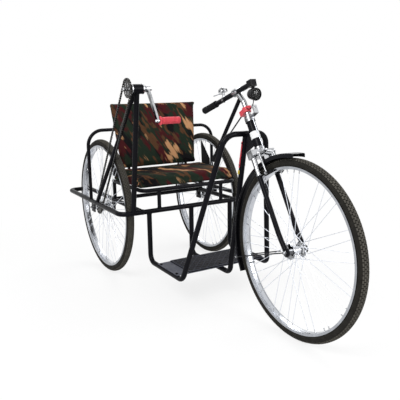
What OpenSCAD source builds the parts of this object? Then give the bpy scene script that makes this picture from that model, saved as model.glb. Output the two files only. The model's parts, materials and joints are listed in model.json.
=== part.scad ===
// Hand-propelled mobility tricycle: one steered wheel in front, two behind, and a hand crank with a chain
// to the right rear wheel. Millimetres, +X forward, +Y to the rider's left, +Z up.
// The origin is on the ground, in the middle plane, halfway along the whole length.

/* [Wheels] */
// Outer radius of every wheel over its tyre
wheel_r = 355.5; // [320:0.5:390]
// Thickness of the tyre
tyre_d = 38; // [30:1:44]
// Distance from the rear axles to the front axle
wheelbase = 1184; // [1100:4:1300]
// Spokes in one wheel
spoke_n = 36; // [20:4:40]
// Thickness of a spoke
spoke_d = 2.4; // [1.8:0.1:3]

/* [Lower frame] */
// Thickness of the frame tubes
tube_d = 24; // [20:1:28]
// Height of the rails above the rear axles
rail_rise = 30; // [28:1:60]
// Distance from an inner rail to the middle of its rear wheel
wheel_gap = 47.5; // [44:0.5:80]
// Distance from the middle of a rear wheel to its outer rail
outer_gap = 66; // [62:1:90]
// Distance from the rear wheels to the front cross tube
front_room = 26.5; // [22:0.5:50]
// Distance from the rear wheels to the rear ends of the rails
rear_room = 40; // [20:1:80]

/* [Seat] */
// Width of the seat cushion
seat_w = 550; // [450:5:600]
// Depth of the seat cushion from front to back
seat_d = 328; // [300:2:380]
// Thickness of the seat cushion
seat_t = 48; // [40:1:60]
// Height of the seat top above the rails
seat_rise = 160; // [145:1:200]
// Height of the back cushion
back_h = 350; // [300:1:420]
// Thickness of the back cushion
back_t = 28; // [20:1:40]
// Lean of the back behind the upright
back_lean = 9; // [5:1:14]
// Height of the hoop behind the back over the rear wheels
hoop_room = 46; // [36:1:90]

/* [Foot platform] */
// Height of the middle of the lower rails of the front loops
floor_z = 133; // [100:1:160]
// Distance of the outer front loops inside the inner rails
loop_in = 33; // [15:1:40]
// Reach of the outer loops' lower ends behind the top of their arch
loop_back = 149; // [110:1:180]

/* [Steering] */
// Lean of the head behind the upright
head_lean = 31; // [26:1:34]
// Height of the crown seat above the wheels
crown_room = 7; // [4:1:20]
// Distance of the front axle ahead of the steering axis
rake = 10; // [4:1:30]
// Length of the head tube
head_len = 116; // [105:1:150]
// Length of the tiller bar behind its clamp
tiller_rear = 275; // [220:5:320]
// Length of the tiller bar ahead of its clamp
tiller_front = 122; // [100:2:140]
// Rise of the tiller bar towards the front
tiller_rise = 18; // [10:1:24]

/* [Hand crank] */
// Height of the crank axis above the rails
crank_rise = 583; // [560:1:620]
// Distance of the crank axis ahead of the front cross tube
crank_fwd = 62; // [30:1:70]
// Length of the crank arm
arm_len = 170; // [140:1:176]
// Teeth of the chainring
ring_teeth = 22; // [18:1:26]
// Teeth of the rear sprocket
cog_teeth = 18; // [16:1:22]
// Pitch of the chain
chain_pitch = 12.7; // [12:0.1:13]
// Room between the chain and the side of the tyre
chain_gap = 12; // [10:0.5:14]
// Length of the red hand grip
grip_len = 100; // [80:1:104]

/* [Hidden] */
$fn = 48;
fit = 0.05;
black = [0.07, 0.07, 0.08];
chrome = [0.78, 0.79, 0.81];
rubber = [0.13, 0.11, 0.10];
camo = [0.22, 0.19, 0.13];
red = [0.80, 0.16, 0.20];
grey = [0.42, 0.45, 0.52];
// faint ring left where a bend meets a straight length
joint_ring = 1;
joint_gap = 0.2;
ring_t = 0.15;
// wheels
axle_z = wheel_r;
tyre_r = tyre_d / 2;
ring_r = wheel_r - tyre_r;
rim_in = ring_r - tyre_r - 5.5;
rim_half = 16.8;
axle_d = 10;
nut_d = 19;
nut_h = 8;
axle_end = 6;
side_room = 5;
flange_r = 30;
flange_t = 3.2;
// radius inside which a flange thickens towards its hub, clear of the spokes' ends
web_r = 21;
front_flange = 28;
rear_flange = 20;
// lower frame: every width follows from the seat, every length from the wheels
rail_z = axle_z + rail_rise;
inner_y = seat_w / 2 - 7;
wheel_y = inner_y + wheel_gap;
outer_y = wheel_y + outer_gap;
cross_x = wheel_r + front_room;
rail_rear = wheel_r + rear_room;
corner_r = 46;
plate_t = 6;
plate_w = 44;
plate_drop = 24;
// the drawing starts at the rear axles and is moved so that the origin lies halfway along the length
mid_x = (wheelbase + wheel_r - rail_rear - tube_d / 2) / 2;
// seat and back
seat_top = rail_z + seat_rise;
seat_rail_d = 20;
seat_rail_z = seat_top - seat_t - seat_rail_d / 2;
seat_front = cross_x - 18;
seat_rear = seat_front - seat_d;
front_post_y = 0.325 * seat_w;
back_x = seat_rear + 2;
back_z = seat_top + 8;
back_low_w = seat_w - 92;
back_top_w = seat_w - 32;
strut_d = 16;
strut_y = 0.32 * seat_w;
strut_off = back_t / 2 + strut_d / 2;
function strut_x(z) = back_x - strut_off / cos(back_lean) - (z - back_z) * tan(back_lean);
bar_x = strut_x(seat_rail_z);
hoop_d = 18;
hoop_r = 80;
hoop_z = 2 * wheel_r + hoop_room;
hoop_x = strut_x(hoop_z) - strut_d / 2 - hoop_d / 2 + 3;
panel_t = 3;
// steering axis: a point on it at the crown seat, and its upward direction
hub_x = wheelbase;
crown_z = 2 * wheel_r + crown_room;
crown_x = hub_x - (crown_z - axle_z) * tan(head_lean) - rake;
up_dir = [-sin(head_lean), 0, cos(head_lean)];
fwd_dir = [cos(head_lean), 0, sin(head_lean)];
function on_axis(s, f = 0, y = 0) = [crown_x, y, crown_z] + s * up_dir + f * fwd_dir;
function head_x(z) = crown_x - (z - crown_z) * tan(head_lean);
head_d = 36;
steerer_d = 25.4;
cup_d = 42;
cup_h = 14;
race_h = 12;
head_top = cup_h + head_len + race_h;
stem_d = 22;
stem_low = head_top + 18;
stem_high = head_top + 83;
blade_y = 45;
blade_d = 20;
crown_h = 32;
end_t = 5;
// front loops and platform
arch_top_x = crown_x - 100;
arch_top_z = crown_z + 62;
arch_y = 103;
loop_y = inner_y - loop_in;
loop_x = arch_top_x - loop_back;
mid_foot_x = loop_x + 26;
bay = loop_x - cross_x;
board_x = cross_x + 0.29 * bay;
board_d = 0.61 * bay;
board_t = 3;
board_over = 8;
mat_t = 4;
mat_edge = 4;
function riser_x(z) = mid_foot_x + (z - floor_z) / (arch_top_z - floor_z) * (arch_top_x - mid_foot_x);
// tiller bar
bar_d = 22;
clamp_at = on_axis(head_top + 142, -22);
tiller_dir = [cos(tiller_rise), 0, sin(tiller_rise)];
tiller_top = [-sin(tiller_rise), 0, cos(tiller_rise)];
grip_d = 31;
bell_back = 102;
perch = 28;
perch_at = clamp_at + (tiller_front - perch / 2) * tiller_dir;
lamp_r = 25;
lamp_at = perch_at + [12, 0, -perch / 2 - lamp_r - 3];
lever_d = 17;
lever_top = on_axis(head_top + 110, -12);
lever_low = lever_top + [-218, 0, -289];
clip_s = head_top + 40;
// front brake and mudguard
guard_gap = 16;
guard_r = wheel_r + guard_gap;
guard_half = 29.5;
guard_strut_d = 14;
arm_off = guard_half + 6.5;
brake_d = 9;
pad_at = on_axis(-112, 38);
pad_tilt = atan2(hub_x - pad_at[0], pad_at[2] - axle_z);
// crank and chain
link_h = 8.6;
link_w = 8;
chain_y = wheel_y + tyre_r + chain_gap + link_w / 2;
crank_x = cross_x + crank_fwd;
crank_z = rail_z + crank_rise;
ring_pr = chain_pitch / (2 * sin(180 / ring_teeth));
cog_pr = chain_pitch / (2 * sin(180 / cog_teeth));
arm_dir = [0.572, 0, -0.82];
post_d = 25;
post_y = wheel_y + 2;
shell_d = 44;
shell_out = chain_y - 17;
shell_in = chain_y - 77;
shell_y = (shell_out + shell_in) / 2;
stay_d = 20;
stay_x = 55;
spindle_d = 16;
arm_y = shell_in - 23;
arm_t = 10;
boss_d = 30;
pin_d = 9;

function unit(v) = v / norm(v);
function turn(p, i) = acos(unit(p[i] - p[i - 1]) * unit(p[i + 1] - p[i]));
function trim(p, r, i) = (i == 0 || i == len(p) - 1) ? 0 : r[i] * tan(turn(p, i) / 2);

// straight round bar from a to b
module rod(a, b, d) {
  v = b - a;
  translate(a)
    rotate([0, acos(v[2] / norm(v)), atan2(v[1], v[0])])
      cylinder(d = d, h = norm(v));
}

// quarter-like bend at the corner p between two directions
module elbow(p, u, v, r, d) {
  a = acos(u * v);
  n = unit(v - u * (u * v));
  c = p - u * r * tan(a / 2) + n * r;
  w = cross(u, n);
  multmatrix([[-n[0], u[0], w[0], c[0]], [-n[1], u[1], w[1], c[1]], [-n[2], u[2], w[2], c[2]], [0, 0, 0, 1]])
    rotate_extrude(angle = a)
      translate([r, 0])
        circle(d = d);
}

// tube along the corners p with a bend radius at each inner corner
module bent(p, r, d) {
  last = len(p) - 1;
  for (i = [0 : last - 1]) {
    u = unit(p[i + 1] - p[i]);
    a = p[i] + u * trim(p, r, i);
    b = p[i + 1] - u * trim(p, r, i + 1);
    rod(a + u * (i == 0 ? 0 : joint_gap), b - u * (i == last - 1 ? 0 : joint_gap), d);
    if (i > 0)
      rod(a - u * joint_ring, a + u * joint_ring, d + 2 * ring_t);
    if (i < last - 1)
      rod(b - u * joint_ring, b + u * joint_ring, d + 2 * ring_t);
  }
  for (i = [1 : last - 1])
    elbow(p[i], unit(p[i] - p[i - 1]), unit(p[i + 1] - p[i]), r[i], d);
}

// turned piece about an axis parallel to Y, its profile given as [radius, along]
module turned(at, profile) {
  translate(at)
    rotate([-90, 0, 0])
      rotate_extrude()
        polygon(profile);
}

// round bar along the steering axis between two distances from the crown seat
module on_head(s0, s1, d, f = 0) {
  rod(on_axis(s0, f), on_axis(s1, f), d);
}

module placed() {
  translate([-mid_x, 0, 0])
    children();
}

module both_sides() {
  children();
  mirror([0, 1, 0])
    children();
}

// Fixed frame
module rails() {
  half = [[cross_x, -inner_y, rail_z], [-rail_rear, -inner_y, rail_z], [-rail_rear, -outer_y, rail_z],
    [cross_x, -outer_y, rail_z]];
  other = [for (i = [3 : -1 : 0]) [half[i][0], -half[i][1], rail_z]];
  bent(concat(half, other), [0, 30, 30, corner_r, corner_r, 30, 30, 0], tube_d);
}

module cross_tube() {
  rod([cross_x, -outer_y + corner_r, rail_z], [cross_x, outer_y - corner_r, rail_z], tube_d);
}

module straight_rail(y) {
  rod([-rail_rear + corner_r, y, rail_z], [cross_x - corner_r, y, rail_z], tube_d);
}

module axle_plate(y) {
  translate([-plate_w / 2, y - plate_t / 2, axle_z - plate_drop])
    cube([plate_w, plate_t, rail_rise + plate_drop]);
}

module axle_bores() {
  for (s = [-1, 1])
    translate([0, s * wheel_y, axle_z])
      rotate([90, 0, 0])
        cylinder(d = axle_d + 2 * fit, h = 2 * (wheel_gap + outer_gap), center = true);
}

module lower_frame() {
  color(black)
    difference() {
      union() {
        rails();
        rod([0, -inner_y, rail_z], [0, inner_y, rail_z], tube_d - 2);
        for (y = [-outer_y, -inner_y, inner_y, outer_y])
          axle_plate(y);
      }
      axle_bores();
    }
}

module seat_rails() {
  color(black)
    union() {
      bent([[bar_x - seat_rail_d / 2, -inner_y, seat_rail_z], [cross_x, -inner_y, seat_rail_z],
        [cross_x, inner_y, seat_rail_z], [bar_x - seat_rail_d / 2, inner_y, seat_rail_z]],
        [0, 40, 40, 0], seat_rail_d);
      rod([bar_x, -inner_y, seat_rail_z], [bar_x, inner_y, seat_rail_z], seat_rail_d - 2);
    }
}

// four upright posts between the rails and the seat
module seat_posts() {
  color(black)
    both_sides()
      difference() {
        union() {
          rod([cross_x, front_post_y, rail_z], [cross_x, front_post_y, seat_rail_z], seat_rail_d - 1);
          rod([bar_x, inner_y, rail_z], [bar_x, inner_y, seat_rail_z], seat_rail_d - 1);
        }
        cross_tube();
        straight_rail(inner_y);
        rod([cross_x, 0, seat_rail_z], [cross_x, inner_y - 41, seat_rail_z], seat_rail_d);
        rod([bar_x - seat_rail_d / 2, inner_y, seat_rail_z], [cross_x - 41, inner_y, seat_rail_z],
          seat_rail_d);
        rod([bar_x, 0, seat_rail_z], [bar_x, inner_y, seat_rail_z], seat_rail_d - 2);
      }
}

module back_struts() {
  low = seat_rail_z - back_z;
  color(black)
    both_sides()
      difference() {
        translate([back_x, strut_y, back_z])
          rotate([0, -back_lean, 0])
            translate([-strut_off, 0, low])
              cylinder(d = strut_d, h = back_h - 20 - low);
        rod([bar_x, 0, seat_rail_z], [bar_x, inner_y, seat_rail_z], seat_rail_d - 2);
        rod([hoop_x, 0, hoop_z], [hoop_x, outer_y - hoop_r, hoop_z], hoop_d);
      }
}

// hoop from rail to rail behind the back, over both rear wheels
module back_hoop() {
  color(black)
    difference() {
      bent([[hoop_x, -outer_y, rail_z], [hoop_x, -outer_y, hoop_z], [hoop_x, outer_y, hoop_z],
        [hoop_x, outer_y, rail_z]], [0, hoop_r, hoop_r, 0], hoop_d);
      straight_rail(outer_y);
      straight_rail(-outer_y);
    }
}

function loop_side() = [[cross_x, -loop_y, rail_z], [cross_x, -loop_y, floor_z], [loop_x, -loop_y, floor_z],
  [arch_top_x, -arch_y, arch_top_z]];

module arch_tube() {
  rod([arch_top_x, -arch_y / 2, arch_top_z], [arch_top_x, arch_y / 2, arch_top_z], tube_d);
}

module front_loops() {
  side = loop_side();
  other = [for (i = [3 : -1 : 0]) [side[i][0], -side[i][1], side[i][2]]];
  color(black)
    difference() {
      bent(concat(side, other), [0, 40, 36, 60, 60, 36, 40, 0], tube_d);
      cross_tube();
    }
}

module middle_loop() {
  color(black)
    difference() {
      bent([[cross_x, 0, rail_z], [cross_x, 0, floor_z], [mid_foot_x, 0, floor_z],
        [arch_top_x, 0, arch_top_z]], [0, 40, 36, 0], tube_d);
      cross_tube();
      arch_tube();
    }
}

// plate between the middle riser and the head
module head_web() {
  color(black)
    difference() {
      translate([0, 3, 0])
        rotate([90, 0, 0])
          linear_extrude(6)
            polygon([[riser_x(arch_top_z - 95), arch_top_z - 95], [arch_top_x, arch_top_z],
              [head_x(arch_top_z + 6), arch_top_z + 6], [head_x(crown_z + 30), crown_z + 30]]);
      rod([mid_foot_x, 0, floor_z], [arch_top_x, 0, arch_top_z], tube_d);
      arch_tube();
      on_head(-20, head_top, head_d);
    }
}

module head_tube() {
  color(black)
    difference() {
      on_head(cup_h, cup_h + head_len, head_d);
      on_head(0, head_top, 30);
    }
}

module headset() {
  color(chrome)
    difference() {
      union() {
        on_head(0.3, cup_h, cup_d);
        on_head(cup_h + head_len, head_top, cup_d);
      }
      on_head(-20, head_top + 20, steerer_d + 2 * fit);
    }
}

module head_sleeve() {
  color([0.86, 0.88, 0.88])
    difference() {
      on_head(52, 82, head_d + 3);
      on_head(0, head_top, head_d);
      translate(on_axis(67))
        rotate([0, -head_lean, 0])
          translate([-head_d - 6, 0, 0])
            cube([50, 80, 60], center = true);
    }
}

module footboard() {
  color(grey)
    translate([board_x, -loop_y - board_over, floor_z + tube_d / 2])
      cube([board_d, 2 * loop_y + 2 * board_over, board_t]);
}

module foot_mat() {
  color([0.09, 0.09, 0.10])
    translate([board_x + mat_edge, -0.76 * loop_y, floor_z + tube_d / 2 + board_t])
      cube([board_d - 2 * mat_edge, 1.76 * loop_y, mat_t]);
}

module seat_cushion() {
  color(camo)
    translate([seat_rear, -seat_w / 2, seat_top - seat_t])
      cube([seat_d, seat_w, seat_t]);
}

module back_cushion() {
  color(camo)
    translate([back_x, 0, back_z])
      rotate([0, -back_lean, 0])
        translate([-back_t / 2, 0, 0])
          rotate([90, 0, 90])
            linear_extrude(back_t)
              polygon([[-back_low_w / 2, 0], [back_low_w / 2, 0], [back_top_w / 2, back_h],
                [-back_top_w / 2, back_h]]);
}

module side_panels() {
  color(black)
    both_sides()
      translate([0, seat_w / 2 + panel_t, 0])
        rotate([90, 0, 0])
          linear_extrude(panel_t)
            polygon([[back_x - 6, seat_top - 24], [back_x + 82, seat_top - 24], [back_x + 78, seat_top + 30],
              [back_x - 14, seat_top + 130]]);
}

module crank_post() {
  color(black)
    difference() {
      union() {
        rod([cross_x, -post_y, rail_z], [crank_x, -shell_y, crank_z], post_d);
        rod([stay_x, -outer_y, rail_z], [crank_x - 8, -shell_y - 8, crank_z - 14], stay_d);
        translate([crank_x, -shell_out, crank_z])
          rotate([-90, 0, 0])
            cylinder(d = shell_d, h = shell_out - shell_in);
      }
      translate([crank_x, 0, crank_z])
        rotate([90, 0, 0])
          cylinder(d = spindle_d + 2 * fit, h = chain_y + outer_gap);
      cross_tube();
      straight_rail(-outer_y);
    }
}

module rear_axles() {
  color(chrome)
    both_sides()
      union() {
        translate([0, inner_y - plate_t / 2 - nut_h - axle_end, axle_z])
          rotate([-90, 0, 0])
            cylinder(d = axle_d, h = outer_y - inner_y + plate_t + 2 * (nut_h + axle_end));
        for (y = [inner_y - plate_t / 2 - nut_h, outer_y + plate_t / 2])
          translate([0, y, axle_z])
            rotate([-90, 0, 0])
              cylinder(d = nut_d, h = nut_h, $fn = 6);
      }
}

// one closed loop of chain: two straight runs and an arc round each toothed wheel
module chain() {
  d = [crank_x, 0, crank_z - axle_z];
  l = norm(d);
  swing = asin((ring_pr - cog_pr) / l);
  tilt = atan2(crank_z - axle_z, crank_x);
  color([0.25, 0.24, 0.23])
    translate([0, -chain_y, axle_z])
      rotate([90, 0, 0])
        rotate([0, 0, tilt])
          translate([0, 0, -link_w / 2])
            union() {
              for (s = [-1, 1])
                rotate([0, 0, s * swing])
                  translate([0, s * cog_pr, 0]) {
                    run = l * cos(swing);
                    translate([joint_gap, -link_h / 2, 0])
                      cube([run - 2 * joint_gap, link_h, link_w]);
                    for (x = [0, run])
                      translate([x - joint_ring, -link_h / 2 - ring_t, -ring_t])
                        cube([2 * joint_ring, link_h + 2 * ring_t, link_w + 2 * ring_t]);
                  }
              rotate([0, 0, 90 + swing])
                rotate_extrude(angle = 180 - 2 * swing)
                  translate([cog_pr - link_h / 2, 0])
                    square([link_h, link_w]);
              translate([l, 0, 0])
                rotate([0, 0, -90 - swing])
                  rotate_extrude(angle = 180 + 2 * swing)
                    translate([ring_pr - link_h / 2, 0])
                      square([link_h, link_w]);
            }
}

module red_cable() {
  y = tube_d / 2 + 2.5;
  high = arch_top_z - 33;
  low = arch_top_z - 145;
  color(red)
    rod([riser_x(high), -y, high], [riser_x(low), -y, low], 5);
}

// Steering
module fork() {
  color(chrome)
    union() {
      on_head(0, stem_low, steerer_d);
      translate(on_axis(-crown_h / 2))
        rotate([0, -head_lean, 0])
          cube([34, 2 * blade_y + 26, crown_h], center = true);
    }
}

module fork_blades() {
  knee = -0.845 * (crown_z - axle_z) / cos(head_lean);
  color(black)
    both_sides()
      difference() {
        union() {
          bent([on_axis(-crown_h, 0, blade_y), on_axis(knee, 0, blade_y), [hub_x, blade_y, axle_z]],
            [0, 250, 0], blade_d);
          translate([hub_x, blade_y - end_t / 2, axle_z])
            rotate([-90, 0, 0])
              cylinder(d = 36, h = end_t);
        }
        for (s = [-1, 1])
          translate([hub_x, blade_y + s * (end_t / 2 + blade_d), axle_z])
            rotate([90, 0, 0])
              cylinder(d = 28, h = 2 * blade_d, center = true);
        translate([hub_x, 0, axle_z])
          rotate([90, 0, 0])
            cylinder(d = axle_d + 2 * fit, h = 4 * blade_y, center = true);
      }
}

module stem_tube() {
  bent([on_axis(stem_low), on_axis(stem_high), clamp_at], [0, 30, 0], stem_d);
  rod(clamp_at - 18 * tiller_dir, clamp_at + 18 * tiller_dir, bar_d + 14);
}

module stem() {
  color(chrome)
    difference() {
      union() {
        stem_tube();
      }
      rod(clamp_at - 60 * tiller_dir, clamp_at + 60 * tiller_dir, bar_d);
    }
}

module lock_nut() {
  color(chrome)
    difference() {
      on_head(head_top + 4.5, head_top + 14, 40);
      on_head(cup_h, stem_high, steerer_d);
    }
}

module clip_block() {
  translate(on_axis(clip_s + 3, -26))
    rotate([0, -head_lean, 0])
      cube([26, 22, 22], center = true);
}

module stem_clip() {
  color(red)
    difference() {
      union() {
        on_head(clip_s - 8, clip_s + 14, stem_d + 12);
        clip_block();
      }
      on_head(cup_h, stem_high - 5, stem_d);
    }
}

module tiller_bar() {
  color(black)
    rod(clamp_at - tiller_rear * tiller_dir, clamp_at + tiller_front * tiller_dir, bar_d);
}

module tiller_grip() {
  color(black)
    difference() {
      rod(clamp_at - (tiller_rear + 4) * tiller_dir, clamp_at - (tiller_rear - 105) * tiller_dir, grip_d);
      rod(clamp_at - tiller_rear * tiller_dir, clamp_at, bar_d);
    }
}

module bell() {
  at = clamp_at - bell_back * tiller_dir;
  base = bar_d / 2 + 22;
  color(chrome)
    union() {
      difference() {
        rod(at - 7 * tiller_dir, at + 7 * tiller_dir, bar_d + 5);
        rod(at - 20 * tiller_dir, at + 20 * tiller_dir, bar_d);
      }
      rod(at + (bar_d / 2 + 2) * tiller_top, at + (base + 2) * tiller_top, 12);
      translate(at + base * tiller_top)
        rotate([0, -tiller_rise, 0])
          rotate_extrude()
            polygon([[0, 0], [21, 0], [21, 4], [19, 11], [13, 17], [6, 20], [0, 20.5]]);
    }
}

module lamp_shape() {
  r = lamp_r;
  translate(lamp_at)
    rotate([0, 90, 0])
      rotate_extrude()
        polygon([[0, -1.07 * r], [0.33 * r, -1.03 * r], [0.63 * r, -0.87 * r], [0.83 * r, -0.53 * r],
          [0.93 * r, 0], [0.97 * r, 14], [r, 16], [r, 22], [0, 22]]);
}

module lamp_perch() {
  color(black)
    difference() {
      union() {
        translate(perch_at)
          rotate([0, -tiller_rise, 0])
            cube([perch + 2, perch, perch], center = true);
        rod(perch_at + [12, 0, 0], lamp_at + [-4, 0, 0], 14);
      }
      rod(clamp_at, clamp_at + 2 * tiller_front * tiller_dir, bar_d);
      lamp_shape();
    }
}

module headlamp() {
  color(black)
    difference() {
      lamp_shape();
      translate(lamp_at + [15, 0, 0])
        rotate([0, 90, 0])
          cylinder(r = lamp_r - 3, h = 20);
    }
}

module lamp_glass() {
  color([0.85, 0.88, 0.9])
    translate(lamp_at)
      rotate([0, 90, 0])
        rotate_extrude()
          polygon([[0, 15], [lamp_r - 3, 15], [lamp_r - 3, 20], [16, 24], [0, 25]]);
}

module lamp_bracket() {
  low = head_top + 0.5;
  color(chrome)
    difference() {
      union() {
        on_head(low, low + 4, cup_d);
        translate(on_axis(low + 2, 30))
          rotate([0, -head_lean, 0])
            cube([52, 22, 4], center = true);
        translate(on_axis(low + 18, 54))
          rotate([0, -head_lean, 0])
            cube([4, 22, 36], center = true);
      }
      on_head(cup_h, stem_high, steerer_d);
      rod(on_axis(low + 23.5, 40), on_axis(low + 23.5, 70), 8.2);
    }
}

module brake_lever() {
  color(black)
    difference() {
      rod(lever_top, lever_low, lever_d);
      stem_tube();
    }
}

module brake_rod() {
  color(black)
    difference() {
      rod(on_axis(clip_s, -36), lever_low + 0.09 * (lever_top - lever_low), 6);
      rod(lever_top, lever_low, lever_d);
      clip_block();
    }
}

module front_brake() {
  bolt = on_axis(-14, 28);
  knee = on_axis(-22, 32);
  out = [0, arm_off, 0];
  color(chrome)
    union() {
      rod(on_axis(-14, 17), on_axis(-14, 36), 14);
      both_sides()
        union() {
          rod(bolt, knee + out, brake_d);
          translate(knee + out)
            sphere(d = brake_d + 1.4);
          rod(knee + out, pad_at + out, brake_d);
        }
    }
}

module brake_pads() {
  color([0.08, 0.08, 0.08])
    both_sides()
      translate(pad_at + [0, arm_off - brake_d / 2 - 9, 0])
        rotate([0, -pad_tilt, 0])
          translate([-24, 0, -6])
            cube([48, 9, 12]);
}

module guard_arc(a0, a1, profile) {
  translate([hub_x, 0, axle_z])
    rotate([90, 0, 0])
      rotate([0, 0, a0])
        rotate_extrude(angle = a1 - a0)
          polygon(profile);
}

module front_mudguard() {
  g = guard_half;
  color(black)
    union() {
      guard_arc(89, 208, [[guard_r + 2, 3.5 - g], [guard_r + 2, g - 3.5], [guard_r - 3, g - 0.5],
        [guard_r - 14, g], [guard_r - 14, g - 2], [guard_r - 4, g - 2.5], [guard_r, g - 5], [guard_r, 5 - g],
        [guard_r - 4, 2.5 - g], [guard_r - 14, 2 - g], [guard_r - 14, -g], [guard_r - 3, 0.5 - g]]);
      difference() {
        on_head(axle_z - crown_z, -crown_h, guard_strut_d);
        translate([hub_x, 0, axle_z])
          rotate([90, 0, 0])
            cylinder(r = guard_r + 1, h = 100, center = true, $fn = 96);
      }
    }
}

module mudguard_stays() {
  a = 198;
  color(black)
    both_sides()
      rod([hub_x, blade_y + end_t / 2 + 2.5, axle_z] + 16.5 * [cos(a), 0, sin(a)],
        [hub_x, guard_half + 2.5, axle_z] + (guard_r - 8) * [cos(a), 0, sin(a)], 5);
}

module front_axle() {
  half = blade_y + end_t / 2 + nut_h + axle_end;
  color(chrome)
    union() {
      translate([hub_x, -half, axle_z])
        rotate([-90, 0, 0])
          cylinder(d = axle_d, h = 2 * half);
      for (y = [-blade_y - end_t / 2 - nut_h, blade_y + end_t / 2])
        translate([hub_x, y, axle_z])
          rotate([-90, 0, 0])
            cylinder(d = nut_d, h = nut_h, $fn = 6);
    }
}

// Wheels
module tyre(at) {
  color(rubber)
    translate(at)
      rotate([90, 0, 0])
        rotate_extrude($fn = 72)
          translate([ring_r, 0])
            circle(r = tyre_r, $fn = 24);
}

module rim(at) {
  top = ring_r - 12.4;
  bed = ring_r - tyre_r;
  w = rim_half;
  color(chrome)
    turned(at, [[rim_in, -8], [bed - 3, -w], [top, -w], [top, 2.2 - w], [bed, -8], [bed, 8], [top, w - 2.2],
      [top, w], [bed - 3, w], [rim_in, 8]]);
}

// spokes in four sets: [flange side, place on the flange, place on the rim, lean]
module spokes(at, flange_y) {
  lift = flange_t / 2 + spoke_d / 2;
  sets = [[1, lift, 4.6, 1], [1, -lift, 0.8, -1], [-1, lift, 4.6, 1], [-1, -lift, 0.8, -1]];
  per_set = spoke_n / 4;
  step = 360 / per_set;
  lean = 62;
  seat = flange_r - 4;
  color(chrome)
    translate(at)
      difference() {
        for (k = [0 : 3], i = [0 : per_set - 1]) {
          s = sets[k];
          a = i * step + k * step / 4 + (s[0] > 0 ? 0 : step / 8);
          b = a + s[3] * lean;
          rod([seat * cos(a), s[0] * (flange_y + s[1]), seat * sin(a)],
            [rim_in * cos(b), s[0] * s[2], rim_in * sin(b)], spoke_d);
        }
        for (y = [-flange_y, flange_y])
          translate([0, y, 0])
            rotate([90, 0, 0])
              cylinder(r = flange_r, h = flange_t, center = true);
      }
}

// hub with two flanges; its ends lie at the given distances along Y
module hub(at, flange_y, end_neg, end_pos) {
  bore = axle_d / 2 + fit;
  body = 13;
  t = flange_t / 2;
  color(chrome)
    turned(at, [[bore, -end_neg], [body, -end_neg], [body, -flange_y - t], [flange_r, -flange_y - t],
      [flange_r, -flange_y + t], [web_r, -flange_y + t], [body + 3, -flange_y + t + 3.4],
      [body + 3, flange_y - t - 3.4], [web_r, flange_y - t], [flange_r, flange_y - t],
      [flange_r, flange_y + t], [body, flange_y + t], [body, end_pos], [bore, end_pos]]);
}

// toothed wheel: flat disc with small teeth, bored to fit its seat
module toothed(at, teeth, pr, t, bore, holes) {
  root = pr - link_h / 2 - 4.4;
  color([0.55, 0.55, 0.56])
    translate(at)
      rotate([90, 0, 0])
        difference() {
          union() {
            cylinder(r = root, h = t, center = true);
            for (i = [0 : teeth - 1])
              rotate([0, 0, i * 360 / teeth])
                translate([0, 0, -t / 2])
                  linear_extrude(t)
                    polygon([[root - 2, -3.6], [root + 1, -3.2], [root + 4, -1.1], [root + 4, 1.1],
                      [root + 1, 3.2], [root - 2, 3.6]]);
          }
          cylinder(d = bore, h = 20, center = true);
          for (i = [0 : holes - 1])
            rotate([0, 0, i * 360 / holes])
              translate([root * 0.62, 0, 0])
                cylinder(d = root * 0.3, h = 20, center = true);
        }
}

hub_out = outer_gap - plate_t / 2 - side_room;
hub_in = wheel_gap - plate_t / 2 - side_room;
hub_front = blade_y - end_t / 2 - 3.5;

module front_tyre() { tyre([hub_x, 0, axle_z]); }
module front_rim() { rim([hub_x, 0, axle_z]); }
module front_spokes() { spokes([hub_x, 0, axle_z], front_flange); }
module front_hub() { hub([hub_x, 0, axle_z], front_flange, hub_front, hub_front); }
module right_tyre() { tyre([0, -wheel_y, axle_z]); }
module right_rim() { rim([0, -wheel_y, axle_z]); }
module right_spokes() { spokes([0, -wheel_y, axle_z], rear_flange); }
module right_hub() { hub([0, -wheel_y, axle_z], rear_flange, hub_out, hub_in); }
module right_sprocket() { toothed([0, -chain_y, axle_z], cog_teeth, cog_pr, 3, 26, 0); }
module left_tyre() { tyre([0, wheel_y, axle_z]); }
module left_rim() { rim([0, wheel_y, axle_z]); }
module left_spokes() { spokes([0, wheel_y, axle_z], rear_flange); }
module left_hub() { hub([0, wheel_y, axle_z], rear_flange, hub_in, hub_out); }

// Hand crank
module crank_arm() {
  at = [crank_x, -arm_y, crank_z];
  end = at + arm_len * arm_dir;
  outer = chain_y + 14;
  color(chrome)
    union() {
      translate([crank_x, -outer, crank_z])
        rotate([-90, 0, 0])
          cylinder(d = spindle_d, h = outer - arm_y + 14);
      translate(at - [0, 11, 0])
        rotate([-90, 0, 0])
          cylinder(d = boss_d, h = 20);
      translate(at - [0, arm_t / 2, 0])
        rotate([-90, 0, 0])
          rotate([0, 0, atan2(-arm_dir[2], arm_dir[0])])
            linear_extrude(arm_t)
              polygon([[0, -11], [arm_len, -8], [arm_len, 8], [0, 11]]);
      translate(end - [0, 7, 0])
        rotate([-90, 0, 0])
          cylinder(d = 20, h = 14);
      translate(end)
        rotate([-90, 0, 0])
          cylinder(d = pin_d, h = grip_len + 10);
    }
}

module chainring() {
  toothed([crank_x, -chain_y, crank_z], ring_teeth, ring_pr, 3, spindle_d, 5);
}

module crank_grip() {
  end = [crank_x, -arm_y + 8, crank_z] + arm_len * arm_dir;
  bore = pin_d / 2;
  color(red)
    translate(end)
      rotate([-90, 0, 0])
        rotate_extrude()
          polygon([[bore, 0], [20, 0], [20, 4], [15, 7], [14.5, 20], [16, grip_len / 2],
            [14.5, grip_len - 14], [15.5, grip_len - 8], [15.5, grip_len - 2], [13.5, grip_len],
            [bore, grip_len]]);
}

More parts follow.
